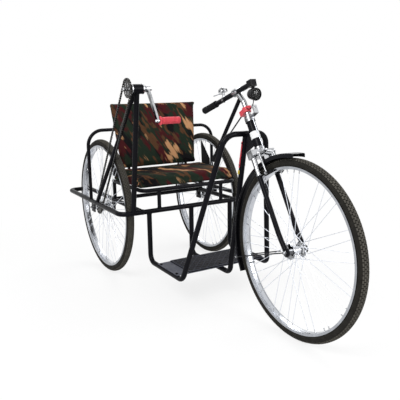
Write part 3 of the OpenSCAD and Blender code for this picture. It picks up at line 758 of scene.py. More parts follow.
def lamp_glass():
    f = Finish("clear_lamp_glass", base_color=(0.95, 0.97, 0.98), roughness=0.04,
               transmission_weight=1.0, ior=1.46)
    f.bump(f.effect("Grain", Scale=260.0), 0.10, 0.0006)
    return f.material


def make_finishes(tones):
    print_colours = {label.title(): (*getattr(tones, label), 1.0)
                     for label in ("leaf", "night", "bark", "earth", "sand")}
    FINISHES.update(
        black_paint=painted("gloss_black_paint", tones.paint, 0.18, 0.012),
        grey_sheet=painted("grey_sheet_paint", tones.sheet, 0.34, 0.10),
        # The last number of a plated finish is how deep its painted reflection bands are
        chrome=plated("bright_chrome", tones.chrome, 0.13, 0.78),
        # Darker copy of the bright chrome with deeper bands: painted shade and painted reflection
        dark_chrome=plated("dark_chrome", shade(tones.chrome, 0.62), 0.11, 0.84),
        rim_chrome=plated("rim_chrome", tones.rim, 0.22, 0.34),
        # Brighter copy of the rim chrome for the spokes: painted light
        spoke_chrome=plated("spoke_chrome", shade(tones.rim, 1.45), 0.30, 0.12),
        chain_steel=plated("oiled_chain_steel", tones.steel, 0.30),
        tread=rubbery("tyre_tread_rubber", tones.tread, 0.74, 0.10),
        # Darker copy of the sidewall rubber for the grooves between the tread blocks: painted shade in the
        # recesses
        groove=rubbery("shaded_groove_rubber", shade(tones.sidewall, 0.8), 0.80, 0.04),
        sidewall=rubbery("tyre_sidewall_rubber", tones.sidewall, 0.62, 0.06),
        black_rubber=rubbery("black_rubber", tones.rubber, 0.55, 0.10),
        mat_rubber=rubbery("grey_mat_rubber", tones.mat, 0.60, 0.12),
        red_rubber=rubbery("red_grip_rubber", tones.red, 0.34, 0.0, 1200.0),
        red_plastic=moulded("red_plastic", tones.red, 0.22),
        white_plastic=moulded("pale_sleeve_plastic", tones.white, 0.26),
        black_plastic=moulded("black_lamp_plastic", shade(tones.rubber, 0.8), 0.20),
        yellow_plastic=moulded("yellow_end_sleeve", tones.yellow, 0.35),
        black_cloth=cloth("black_backing_cloth", 800.0, tones.backing),
        thread=cloth("dark_sewing_thread", 3000.0, tones.thread),
        camouflage_cloth=cloth("camouflage_cloth", 850.0, print_colours=print_colours),
        lamp_glass=lamp_glass(),
    )


# Operators, in the order in which they run


class Step(bpy.types.Operator):
    """Base of the tricycle's operators."""

    bl_options = {"REGISTER", "UNDO"}

    @property
    def sizes(self):
        return bpy.context.scene.tricycle_sizes


class TRICYCLE_OT_stage(Step):
    """Lay the floor, hang the lamps and place the camera"""

    bl_idname = "tricycle.stage"
    bl_label = "Stage"

    def seen(self, tree):
        """1 for what camera, mirror and glass see, 0 for light on the object."""
        camera, glossy, through = [
            put(tree, "ShaderNodeLightPath", output=f"Is {ray} Ray")
            for ray in ("Camera", "Glossy", "Transmission")]
        return camera.reckon("MAXIMUM", glossy).reckon("MAXIMUM", through)

    def world(self):
        """White to the eye, and softer as light."""
        made = bpy.data.worlds.new("studio")
        made.use_nodes = True
        sky = made.node_tree.nodes["Background"]
        sky.inputs[0].default_value = (1, 1, 1, 1)
        strength = ranged(made.node_tree, self.seen(made.node_tree), 0.0, 1.0, 0.55, 1.0)
        made.node_tree.links.new(strength.socket, sky.inputs[1])
        return made

    def floor(self):
        """Pale floor that keeps the shadow near the tricycle and is white further off."""
        reach, drop = 14.0, 0.0005
        mesh = bpy.data.meshes.new("floor")
        corners = ((-reach, -reach, 0), (reach, -reach, 0), (reach, reach, 0), (-reach, reach, 0))
        mesh.from_pydata(corners, [], [(0, 1, 2, 3)])
        material = bpy.data.materials.new("pale_floor")
        material.use_nodes = True
        tree = material.node_tree
        tree.nodes.remove(tree.nodes["Principled BSDF"])
        matt = put(tree, "ShaderNodeBsdfDiffuse", {"Color": (0.86, 0.86, 0.86, 1)})
        glow = put(tree, "ShaderNodeEmission", {"Color": (1, 1, 1, 1), "Strength": 1.0})
        place = put(tree, "ShaderNodeTexCoord", output="Object")
        away = put(tree, "ShaderNodeVectorMath", {0: place}, "Value", operation="LENGTH")
        paleness = ranged(tree, away, 0.8, 2.0, 0.78, 1.0)
        both = put(tree, "ShaderNodeMixShader", {0: self.seen(tree) * paleness, 1: matt, 2: glow})
        tree.links.new(both.socket, tree.nodes["Material Output"].inputs[0])
        mesh.materials.append(material)
        ground = linked("floor", mesh)
        ground.location.z = -drop

    def lamp(self, name, place, target, size, power):
        light = bpy.data.lights.new(name, "AREA")
        light.shape, light.size, light.energy = "DISK", size, power
        made = linked(name, light)
        made.location = place
        made.rotation_euler = (Vector(target) - Vector(place)).to_track_quat("-Z", "Y").to_euler()

    def camera(self, place, azimuth, elevation, roll, focal):
        azimuth, elevation, roll = [math.radians(angle) for angle in (azimuth, elevation, roll)]
        flat = math.cos(elevation)
        back = Vector((math.sin(azimuth) * flat, -math.cos(azimuth) * flat, math.sin(elevation)))
        right = Vector((math.cos(azimuth), math.sin(azimuth), 0))
        up = back.cross(right)
        right, up = (math.cos(roll) * right + math.sin(roll) * up,
                     math.cos(roll) * up - math.sin(roll) * right)
        lens = bpy.data.cameras.new("camera")
        lens.lens, lens.sensor_width = focal, 36.0
        made = linked("camera", lens)
        made.matrix_world = Matrix.Translation(place) @ Matrix((right, up, back)).transposed().to_4x4()
        return made

    def execute(self, context):
        scene = context.scene
        scene.view_settings.view_transform = "Standard"
        scene.world = self.world()
        self.floor()
        self.lamp("key_lamp", (1.6, -3.0, 3.4), (0.1, 0, 0.5), 2.6, 130)
        self.lamp("fill_lamp", (3.4, 1.6, 2.0), (0.1, 0, 0.5), 2.4, 60)
        self.lamp("back_lamp", (-2.6, 2.2, 2.8), (0, 0, 0.5), 2.4, 70)
        # Fitted to the outlines of the three wheels
        scene.camera = self.camera((2.1131, -1.3027, 0.9696), 59.4579, 11.8987, -0.8387, 47.917)
        return {"FINISHED"}


class TRICYCLE_OT_finishes(Step):
    """Make every finish and put it on the frame's own pieces"""

    bl_idname = "tricycle.finishes"
    bl_label = "Finishes"

    def execute(self, context):
        make_finishes(context.scene.tricycle_colours)
        for row in frame["record"]["subparts"]:
            node, kind = row["node"], row["node"].split("_", 1)[-1]
            finish = OWN_FINISH.get(kind) or OWN_FINISH.get(node, row["material_slot"])
            mesh = frame["nodes"][node].data
            mesh.materials.clear()
            mesh.materials.append(FINISHES[finish])
        return {"FINISHED"}


def smooth_path(points, steps=8):
    """Points along a smooth line through the given ones."""
    ends = [points[0] * 2 - points[1], *points, points[-1] * 2 - points[-2]]
    line = []
    for a, b, c, d in zip(ends, ends[1:], ends[2:], ends[3:]):
        for i in range(steps):
            t = i / steps
            line.append(0.5 * (2 * b + (c - a) * t + (2 * a - 5 * b + 4 * c - d) * t * t
                               + (3 * b - a - 3 * c + d) * t ** 3))
    return line + [points[-1]]


def run_of(line):
    return sum((b - a).length for a, b in zip(line, line[1:]))


class TRICYCLE_OT_cables(Step):
    """Tie the red cable to the arch and lead the lamp's wire to the stem"""

    bl_idname = "tricycle.cables"
    bl_label = "Cables"

    def red_cable(self):
        top, foot = at(849.92, -14.5, 747), at(828.62, -14.5, 635)
        down = (foot - top).normalized()
        low = foot + down * 0.030
        line = [top.lerp(foot, i / 20) + Y_AXIS * 0.0004 * math.sin(math.pi * i / 10) for i in range(21)]
        cable = piece("red_cable_sleeve", Shape().sweep(line, 3, 16), "red_plastic", "frame", ["red_cable"])
        bare = [foot.lerp(top, 0.03), foot.lerp(low, 0.5), low]
        wire = piece("cable_inner_wire", Shape().sweep(bare, 1.4), "black_rubber", "frame")
        end = piece("cable_end_sleeve", Shape().lathe(low, foot - low, [
            (0, 0), (3.4, 0.2), (4.3, 1.6), (4.3, 5.2), (3.6, 6.0), (4.3, 6.8), (4.3, 15.0), (3.0, 17.0),
            (0, 17.2)], 20), "yellow_plastic", "frame")
        run_of(line)
        ties = Shape()
        for share in (0.06, 0.90):
            spot = top.lerp(foot, share) + down * 0.002
            loops = ((spot + Y_AXIS * 0.0145, 12.1, 1.2, 40), (spot, 3.0, 1.0, 24))
            for middle, radius, wall, sides in loops:
                ties.lathe(middle, -down, [
                    (radius, 0), (radius + wall, 0.3), (radius + wall, 3.7), (radius, 4.0)],
                    sides, closed=True)
        piece("cable_ties", ties, "black_plastic", "frame")

    def lamp_wire(self):
        hung = ((2, 0, -23), (3, -2, -36), (-3, -6, -52), (-17, -8, -60))
        line = smooth_path([LAMP_AT + Vector(p) * MM for p in hung] + [on_head(186, 15, -8)])
        wire = piece("lamp_wire", Shape().sweep(line, 1.8), "black_rubber", "steering")
        run_of(line)

    def execute(self, context):
        self.red_cable()
        self.lamp_wire()
        return {"FINISHED"}


class TRICYCLE_OT_tyres(Step):
    """Build the tyres with their treads, and the valves and spoke nipples of the wheels"""

    bl_idname = "tricycle.tyres"
    bl_label = "Tyres"

    def casing(self, centre):
        """Tyre under its tread: a crown set back for the blocks, and two raised lines on each side."""
        steps, crown_edge, side_edge = 60, 0.98, 1.1
        raised = ((1.40, 1.52), (1.75, 1.84))
        depth = self.sizes.tread_depth / MM
        profile, kinds = [], []
        for i in range(steps):
            angle = 2 * math.pi * i / steps
            off = min(angle, 2 * math.pi - angle)
            radius = TYRE_R - 0.4
            if off < crown_edge:
                radius -= depth * 0.86
            elif any(low < off < high for low, high in raised):
                radius += 0.3
            elif off > side_edge:
                radius -= 0.5
            profile.append((RING_R + radius * math.cos(angle), radius * math.sin(angle)))
            # The crown, seen in the grooves between the blocks, takes the painted-shade groove finish
            kinds.append(0 if off < crown_edge else 1)
        return Shape().lathe(centre, Y_AXIS, profile, 144, closed=True, kinds=kinds)

    def nipple_points(self, centre, flange):
        """Ends of the spokes at the rim, aimed along the spokes."""
        points = []
        for k, (side, out, rim_y, lean) in enumerate(SPOKE_SETS):
            for i in range(9):
                a = math.radians(i * 40 + k * 10 + (0 if side > 0 else 5))
                b = a + lean * math.radians(62)
                inner = Vector((SPOKE_SEAT_R * math.cos(a), side * (flange + out),
                                SPOKE_SEAT_R * math.sin(a)))
                outer = Vector((RIM_IN * math.cos(b), side * rim_y, RIM_IN * math.sin(b)))
                points.append((centre + MM * outer, (inner - outer).normalized()))
        return points

    def valve(self, centre, angle):
        out = Vector((math.cos(angle), 0, math.sin(angle)))
        return Shape().lathe(centre + MM * RIM_IN * out, -out, [
            (0, -4), (3.6, -4), (3.6, 4), (4.4, 4), (4.4, 7), (3.3, 8), (3.3, 24), (4.2, 24.5), (4.2, 31),
            (2.6, 34), (0, 34)], 16)

    def execute(self, context):
        sizes = self.sizes
        tall = sizes.nipple / MM
        nipple = Shape().lathe(-MM * Z_AXIS, Z_AXIS, [
            (0, 0), (2.9, 0), (2.9, 2), (2.1, 3), (1.9, tall), (1.2, tall + 1), (0, tall + 1)], 8)
        for wheel, flange in FLANGE_Y.items():
            body, centre = wheel + "_wheel", PIVOT[wheel + "_wheel_spin"]
            # The casing's crown takes the painted-shade groove finish, its sides the sidewall rubber
            piece(wheel + "_tyre_casing", self.casing(centre), ["groove", "sidewall"], body,
                  [wheel + "_tyre"])
            grow(wheel + "_tread", "Tyre tread", {
                "Blocks": sizes.tread_blocks, "Rows": sizes.tread_rows, "Ring radius": MM * RING_R,
                "Tyre radius": MM * TYRE_R - sizes.tread_depth, "Row angle": 0.40,
                "Block": (0.0105, 0.0058, 2 * sizes.tread_depth), "Centre": centre}, "tread", body, sharp=30)
            set_out(wheel + "_nipples", nipple, self.nipple_points(centre, flange), "chrome", body)
            piece(wheel + "_valve", self.valve(centre, math.radians(204)), "chrome", body)
        return {"FINISHED"}


class TRICYCLE_OT_chain(Step):
    """Set out the links of the drive chain round its two toothed wheels"""

    bl_idname = "tricycle.chain"
    bl_label = "Chain"

    def route(self):
        """Closed line of the chain on the pitch circles of its two wheels."""
        pitch, steps = 12.7, 24
        ring, cog = [MM * pitch / (2 * math.sin(math.pi / teeth)) for teeth in (22, 18)]
        rear = PIVOT["right_wheel_spin"].copy()
        rear.y = CHAIN_Y
        span = Vector((CRANK_AT.x - rear.x, 0, CRANK_AT.z - rear.z))
        quarter = math.pi / 2 + math.asin((ring - cog) / span.length)
        ahead = span.normalized()
        above = Vector((-ahead.z, 0, ahead.x))
        arcs = ((span.length, ring, quarter, 2 * quarter), (0, cog, -quarter, 2 * math.pi - 2 * quarter))
        line = []
        for centre, radius, start, sweep in arcs:
            for i in range(steps + 1):
                a = start - sweep * i / steps
                line.append(rear + (centre + radius * math.cos(a)) * ahead + radius * math.sin(a) * above)
        return line

    def link(self, gap, pitch, pin):
        """Two figure-eight plates, set apart from the middle, with a pin through each end."""
        end_r, waist, thick, pin_r, pin_half = 4.1, 2.9, 1.1, *pin
        outline = []
        for end in (1, -1):
            for i in range(6):
                a = math.radians((-75 if end > 0 else 105) + 30 * i)
                outline.append((end * pitch / 2 + end_r * math.cos(a), end_r * math.sin(a)))
            outline.append((0, waist * end))
        count, shape = len(outline), Shape()
        faces = [[i, (i + 1) % count, count + (i + 1) % count, count + i] for i in range(count)]
        faces += [list(range(count)), list(range(count, 2 * count))]
        for side in (-1, 1):
            shape.add([MM * Vector((x, side * y, z)) for y in (gap, gap + thick) for x, z in outline], faces)
        for end in (-pitch / 2, pitch / 2):
            shape.lathe(MM * Vector((end, -pin_half, 0)), Y_AXIS, disc(pin_r, 2 * pin_half), 8)
        return shape

    def execute(self, context):
        links, route = self.sizes.chain_links, self.route()
        pitch = run_of(route + route[:1]) / links / MM
        inner = linked("inner_link", self.link(1.6, pitch, (3.7, 1.7)).mesh("inner_link"))
        outer = linked("outer_link", self.link(2.8, pitch, (1.8, 4.3)).mesh("outer_link"))
        grow("chain_links", "Chain links", {"Links": links, "Inner link": inner, "Outer link": outer},
             "chain_steel", "frame", lines_mesh("chain_line", [route]), ["chain"])
        for pattern in (inner, outer):
            bpy.data.objects.remove(pattern)
        return {"FINISHED"}


def rounded_block(corners, depth, edge):
    """Closed block over a four-cornered face in XY, its edges rounded."""
    bm = bmesh.new()
    low = [bm.verts.new((x, y, 0)) for x, y in corners]
    high = [bm.verts.new((x, y, depth)) for x, y in corners]
    bm.faces.new(low[::-1])
    bm.faces.new(high)
    for i in range(4):
        j = (i + 1) % 4
        bm.faces.new((low[i], low[j], high[j], high[i]))
    bmesh.ops.recalc_face_normals(bm, faces=bm.faces)
    bmesh.ops.bevel(bm, geom=bm.edges[:], offset=edge, segments=4, profile=0.5, affect="EDGES")
    made = bpy.data.meshes.new("cushion_block")
    bm.to_mesh(made)
    bm.free()
    return made


def filled(holder, swell, rest_depth):
    """Cover blown up by cloth simulation: points below rest_depth stay on what they lie on."""
    pressure, last = 4.0, 18
    before = [v.co.copy() for v in holder.data.vertices]
    held = holder.vertex_groups.new(name="held")
    held.add([i for i, co in enumerate(before) if co.z < rest_depth], 1.0, "REPLACE")
    fill = holder.modifiers.new("Cloth", "CLOTH")
    setting = fill.settings
    setting.use_pressure, setting.uniform_pressure_force = True, pressure
    setting.effector_weights.gravity = 0.0
    setting.vertex_group_mass = "held"
    setting.quality = 4
    fill.point_cache.frame_end = last
    scene = bpy.context.scene
    for step in range(1, last + 1):
        scene.frame_set(step)
    made = applied(holder)
    for vertex, old in zip(made.vertices, before):
        move = vertex.co - old
        if move.length > swell:
            vertex.co = old + move * (swell / move.length)
    holder.modifiers.clear()
    scene.frame_set(1)
    return made


def stuffed(name, block, swell, rest_depth):
    """Even mesh of a cushion's cover, filled."""
    holder = linked(name, block)
    remesh = holder.modifiers.new("Remesh", "REMESH")
    remesh.mode, remesh.voxel_size = "VOXEL", 0.0055
    holder.data = applied(holder)
    holder.modifiers.clear()
    made = filled(holder, swell, rest_depth)
    bpy.data.objects.remove(holder)
    return made


class TRICYCLE_OT_cushions(Step):
    """Fill the seat and back cushions and sew their covers"""

    bl_idname = "tricycle.cushions"
    bl_label = "Cushions"

    def wrinkle(self, mesh, half, depth):
        """Soft pulls of the cover: strongest along the edges, none on what it rests on."""
        for vertex in mesh.vertices:
            x, y, z = vertex.co
            if z < depth * 0.25:
                continue
            rim = max(abs(x) / half[0], abs(y) / half[1])
            pull = 0.25 + 0.75 * max(0.0, (rim - 0.55) / 0.45)
            broad = noise.noise(Vector((x * 11, y * 11, 3.0)))
            fine = noise.noise(Vector((x * 34, y * 13, 7.0)))
            vertex.co.z += 0.0013 * pull * (broad + 0.6 * fine)

    def lay_cloth(self, mesh, half, depth, way):
        """Map of the flat cloth over a cushion: it runs on round the edges; way turns it end for end."""
        spots = []
        for vertex in mesh.vertices:
            x, y, drop = vertex.co.x, vertex.co.y, depth - vertex.co.z
            over_x = drop if abs(x) > half[0] * 0.94 else 0.0
            over_y = drop if abs(y) > half[1] * 0.96 else 0.0
            spots.append((way * (x + math.copysign(over_x, x)) + way, way * (y + math.copysign(over_y, y))))
        laid = mesh.uv_layers.new(name=CLOTH_MAP)
        for loop, spot in zip(mesh.loops, laid.data):
            spot.uv = spots[loop.vertex_index]

    def back_with_black(self, mesh, half, border):
        """Black cloth on the hidden face, inside the cover's turned-in border."""
        for face in mesh.polygons:
            inside = abs(face.center.x) < half[0] - border and abs(face.center.y) < half[1] - border
            face.material_index = 1 if face.normal.z < -0.8 and inside else 0

    def cover(self, name, corners, depth, place, node, tacks, way):
        """Cushion made flat, with its hidden face at z = 0, and then put in its place."""
        border, shrink, stitch = 0.030, 0.002, self.sizes.stitch

        def drawn_in(by):
            return [(x - math.copysign(by, x), y - math.copysign(by, y)) for x, y in corners]

        half = [max(abs(corner[k]) for corner in corners) for k in (0, 1)]
        block = rounded_block(drawn_in(shrink), depth - shrink, min(0.011, depth * 0.36))
        made = stuffed(name, block, self.sizes.swell, depth * 0.12)
        self.wrinkle(made, half, depth)
        self.back_with_black(made, half, border)
        self.lay_cloth(made, half, depth, way)
        made.transform(place)
        cushion = piece(name, made, ["camouflage_cloth", "black_cloth"], "frame", [node], sharp=80)
        line = [Vector((x, y, -0.0002)) for x, y in drawn_in(border)]
        grow(name + "_stitches", "Beads on a line",
             {"Step": stitch * 1.7, "Bead": (stitch / 2, 0.0006, 0.0006)}, "thread", "frame",
             lines_mesh(name + "_line", [[place @ p for p in line]]))
        head = Shape().lathe(-MM * Z_AXIS, Z_AXIS, [(0, 0), (5.2, 0), (5.2, 1.4), (3.6, 2.6), (0, 3.1)], 12)
        points = []
        for a, b in zip(line, line[1:] + line[:1]):
            for i in range(tacks):
                spot = a.lerp(b, (i + 0.5) / tacks)
                spot += Vector((spot.x * 0.06, spot.y * 0.04, 0))
                points.append((place @ spot, -(place.to_3x3() @ Z_AXIS)))
        set_out(name + "_tacks", head, points, "chrome", "frame", 0.8)

    def seat(self):
        low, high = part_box("seat_cushion")
        middle, size = (low + high) / 2, high - low
        tuck, lift = 0.009, 0.002
        half_x, half_y = (size.x + tuck) / 2, size.y / 2
        square = [(-half_x, -half_y), (half_x, -half_y), (half_x, half_y), (-half_x, half_y)]
        place = Matrix.Translation((middle.x - tuck / 2, middle.y, low.z))
        self.cover("padded_seat", square, size.z + lift, place, "seat_cushion", 9, 1)

    def back(self):
        lean, tall, thick, drop = math.radians(9), 0.354, 0.028, 0.004
        foot, head = 0.458 / 2, 0.518 / 2
        trapeze = [(-tall / 2, -foot), (tall / 2, -head), (tall / 2, head), (-tall / 2, foot)]
        up = Vector((-math.sin(lean), 0, math.cos(lean)))
        face = Vector((math.cos(lean), 0, math.sin(lean)))
        centre = at(38, 0, 553.5) + up * (tall / 2 - drop) - face * thick / 2
        turn = Matrix((up, face.cross(up), face)).transposed().to_4x4()
        self.cover("padded_back", trapeze, thick, Matrix.Translation(centre) @ turn, "back_cushion", 8, -1)

    def execute(self, context):
        self.seat()
        self.back()
        return {"FINISHED"}


class TRICYCLE_OT_side_panels(Step):
    """Stretch the black cloth panels between the back and the seat"""

    bl_idname = "tricycle.side_panels"
    bl_label = "Side panels"

    def execute(self, context):
        steps, thick, sag, inset = 14, 0.0016, 0.0014, 0.0015
        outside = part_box("side_panels")[1].y - inset
        a, b, c, d = corners = [at(32, 0, 521.5), at(120, 0, 521.5), at(116, 0, 575.5), at(24, 0, 675.5)]
        row, layer = steps + 1, (steps + 1) ** 2
        faces = []
        for i in range(steps):
            for j in range(steps):
                quad = [i * row + j, i * row + j + 1, (i + 1) * row + j + 1, (i + 1) * row + j]
                faces += [quad, [layer + k for k in quad[::-1]]]
        rim = ([i * row for i in range(row)] + [steps * row + j for j in range(1, row)]
               + [i * row + steps for i in range(steps - 1, -1, -1)] + list(range(steps - 1, 0, -1)))
        faces += [[p, q, layer + q, layer + p] for p, q in zip(rim, rim[1:] + rim[:1])]
        for side, name in ((-1, "right"), (1, "left")):
            verts = []
            for off in (-thick / 2, thick / 2):
                for k in range(layer):
                    u, v = k // row / steps, k % row / steps
                    hollow = sag * math.sin(math.pi * u) * math.sin(math.pi * v)
                    spot = a.lerp(b, u).lerp(d.lerp(c, u), v)
                    verts.append(spot + Y_AXIS * (side * (outside - hollow) + off))
            panel = piece(name + "_side_panel", Shape().add(verts, faces), "black_cloth", "frame",
                          ["side_panels"])
            edge = [(verts[k] + verts[layer + k]) / 2 for k in rim]
            hem = piece(name + "_panel_hem", Shape().sweep(edge, 1.7, 8, closed=True), "black_cloth", "frame")
        return {"FINISHED"}


class TRICYCLE_OT_platform(Step):
    """Rib and edge the foot mat of the platform"""

    bl_idname = "tricycle.platform"
    bl_label = "Foot platform"

    def execute(self, context):
        sizes, margin, inset, steps = self.sizes, 0.016, 0.003, 12
        low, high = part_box("foot_mat")
        middle = (low + high) / 2
        grow("foot_mat_ribs", "Mat ribs", {
            "Length": high.x - low.x - margin, "Width": high.y - low.y - margin, "Pitch": sizes.mat_pitch,
            "Rib": (sizes.mat_pitch * 1.06, 0.0030, 2 * sizes.mat_rib),
            "Centre": (middle.x, middle.y, high.z)}, "mat_rubber", "frame", sharp=30)
        near, far, right, left = low.x + inset, high.x - inset, low.y + inset, high.y - inset
        plan = ((near, right), (far, right), (far, left), (near, left))
        corners = [Vector((x, y, high.z)) for x, y in plan]
        edge = []
        for a, b in zip(corners, corners[1:] + corners[:1]):
            edge += [a.lerp(b, i / steps) for i in range(steps)]
        piece("foot_mat_edge", Shape().sweep(edge, 2.2, 8, closed=True), "mat_rubber", "frame")
        return {"FINISHED"}


class TRICYCLE_OT_grips(Step):
    """Turn the ribbed hand grips of the crank and the tiller"""

    bl_idname = "tricycle.grips"
    bl_label = "Hand grips"

    def ribs(self, count, start, run, low, high, shares, swell=0.0):
        """Profile of even ribs along a grip that may swell in the middle."""
        profile = []
        for i in range(count):
            base, width = start + run * i / count, run / count
            out = swell * math.sin(math.pi * (i + 0.5) / count)
            profile += [(radius + out, base + width * share)
                        for radius, share in zip((low, high, high, low), (0, *shares))]
        return profile

    def execute(self, context):
        ribs = self.sizes.grip_ribs
        crank = [
            (4.7, 0), (19.0, 0), (20.0, 1), (20.0, 3.6), (18.6, 4.8), (15.6, 6.6),
            *self.ribs(ribs, 8.5, 77.5, 14.2, 15.2, (0.28, 0.72, 0.98), 0.9),
            (14.8, 87.5), (15.6, 90.5), (15.6, 97.5), (14.0, 99.8), (4.7, 100.0)]
        piece("red_crank_grip", Shape().lathe(CRANK_PIN + Y_AXIS * 0.008, Y_AXIS, crank, 40, closed=True),
              "red_rubber", "crank", ["crank_grip"], sharp=50)
        tiller = [
            (11.0, 0), (14.6, 0), (15.5, 1.2), (15.5, 7.0), (14.0, 8.5),
            *self.ribs(ribs + 3, 10.5, 76.0, 13.4, 14.8, (0.3, 0.7, 0.97)),
            (14.0, 89.0), (15.5, 91.5), (15.5, 106.0), (13.8, 108.4), (9.5, 109.0), (0, 109.0)]
        piece("ribbed_tiller_grip", Shape().lathe(on_tiller(-170), -TILLER_DIR, tiller, 40), "black_rubber",
              "steering", ["tiller_grip"], sharp=50)
        return {"FINISHED"}


def saddle(root, along, radius, main_at, main_dir, main_r):
    """Closed line where a branch tube meets the outside of a main tube."""
    along, clear = Vector(along).normalized(), 0.2
    line = []
    for out in circle(along, 36):
        p = root + MM * radius * out + along * clear
        off = p - main_at
        flat_off = off - off.dot(main_dir) * main_dir
        flat_dir = along.dot(main_dir) * main_dir - along
        qa, qb = flat_dir.dot(flat_dir), 2 * flat_off.dot(flat_dir)
        qc = flat_off.dot(flat_off) - (MM * main_r) ** 2
        inside = max(0.0, qb * qb - 4 * qa * qc)
        line.append(p - along * ((-qb - math.sqrt(inside)) / (2 * qa)))
    return line


class TRICYCLE_OT_welds(Step):
    """Lay weld beads where the frame's tubes meet"""

    bl_idname = "tricycle.welds"
    bl_label = "Welds"

    def joins(self):
        """Branch's root, direction and radius, then the main tube's place, direction and radius."""
        tube, post_r, stay_r, shell_r = 12, 12.5, 10, 22
        rail_z, seat_z, cross_x, strut_x = 385.5, 487.5, 382, 26.2
        seat_y, inner_y, outer_y, crank_y = 178.75, 268, 381.5, -317.5
        cross, seat_front = at(cross_x, 0, rail_z), at(cross_x, 0, seat_z)
        rows = []
        for s in (-1, 1):
            inner, outer = at(0, s * inner_y, rail_z), at(0, s * outer_y, rail_z)
            corner = at(strut_x, s * inner_y, seat_z)
            rows += [
                (at(cross_x, s * 235, rail_z), -Z_AXIS, tube, cross, Y_AXIS, tube),
                (at(cross_x, s * seat_y, rail_z), Z_AXIS, 9.5, cross, Y_AXIS, tube),
                (at(cross_x, s * inner_y, rail_z), -X_AXIS, tube, cross, Y_AXIS, tube),
                (at(strut_x, s * inner_y, rail_z), Z_AXIS, 9.5, inner, X_AXIS, tube),
                (inner, -s * Y_AXIS, 11, inner, X_AXIS, tube),
                (at(-30.5, s * outer_y, rail_z), Z_AXIS, 9, outer, X_AXIS, tube),
                (at(cross_x, s * seat_y, seat_z), -Z_AXIS, 9.5, seat_front, Y_AXIS, 10),
                (corner, -Z_AXIS, 9.5, corner, X_AXIS, 10),
                (at(strut_x, s * 176, seat_z), (-0.156, 0, 0.988), 8, at(strut_x, 0, seat_z), Y_AXIS, 9),
            ]
        arch, post_foot = at(856.19, 0, 780), at(cross_x, crank_y, rail_z)
        stay_foot, stay_head = at(55, -outer_y, rail_z), at(436, -311.5, 954.5)
        post = CRANK_AT + Vector((0, -0.053, 0)) - post_foot
        stay = stay_head - stay_foot
        shell = Vector((CRANK_AT.x, 0, CRANK_AT.z))
        return rows + [
            (cross, -Z_AXIS, tube, cross, Y_AXIS, tube),
            (arch, at(733.19, 0, 133) - arch, tube, arch, Y_AXIS, tube),
            (post_foot, post, post_r, cross, Y_AXIS, tube),
            (stay_foot, stay, stay_r, at(0, -outer_y, rail_z), X_AXIS, tube),
            (at(444, -303.5, 968.5), -post, post_r, shell, Y_AXIS, shell_r),
            (stay_head, -stay, stay_r, shell, Y_AXIS, shell_r),
        ]

    def execute(self, context):
        bead = self.sizes.weld_bead
        lines = [saddle(*row) for row in self.joins()]
        grow("weld_beads", "Beads on a line", {"Step": bead * 1.1, "Bead": (bead * 0.8, bead, bead)},
             "black_paint", "frame", lines_mesh("weld_lines", lines), sharp=60)
        return {"FINISHED"}


class TRICYCLE_OT_fasteners(Step):
    """Set out the bolts of the platform and the chainring"""

    bl_idname = "tricycle.fasteners"
    bl_label = "Fasteners"

    def execute(self, context):
        bolt = Shape().lathe(-0.8 * MM * Z_AXIS, Z_AXIS, disc(7.5, 1.4), 20)
        bolt.lathe(0.4 * MM * Z_AXIS, Z_AXIS, [(0, 0), (5.5, 0), (5.5, 3.6), (4.7, 4.4), (0, 4.4)], 6)
        board_low, board_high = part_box("footboard")
        mat_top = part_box("foot_mat")[1].z
        inset, circle_r, face_y = 0.022, 0.0225, CHAIN_Y - 0.0015
        platform, ring = [], []
        for x in (board_low.x + inset, board_high.x - inset):
            for y, z in ((-0.235, board_high.z), (0.0, mat_top), (0.219, mat_top)):
                platform.append((Vector((x, y, z)), Z_AXIS))
        for i in range(5):
            a = math.radians(36 + 72 * i)
            ring.append((Vector((CRANK_AT.x + circle_r * math.cos(a), face_y,
                                 CRANK_AT.z + circle_r * math.sin(a))), -Y_AXIS))
        set_out("platform_bolts", bolt, platform, "black_paint", "frame", sharp=30)
        set_out("chainring_bolts", bolt, ring, "chrome", "crank", 0.62, sharp=30)
        return {"FINISHED"}


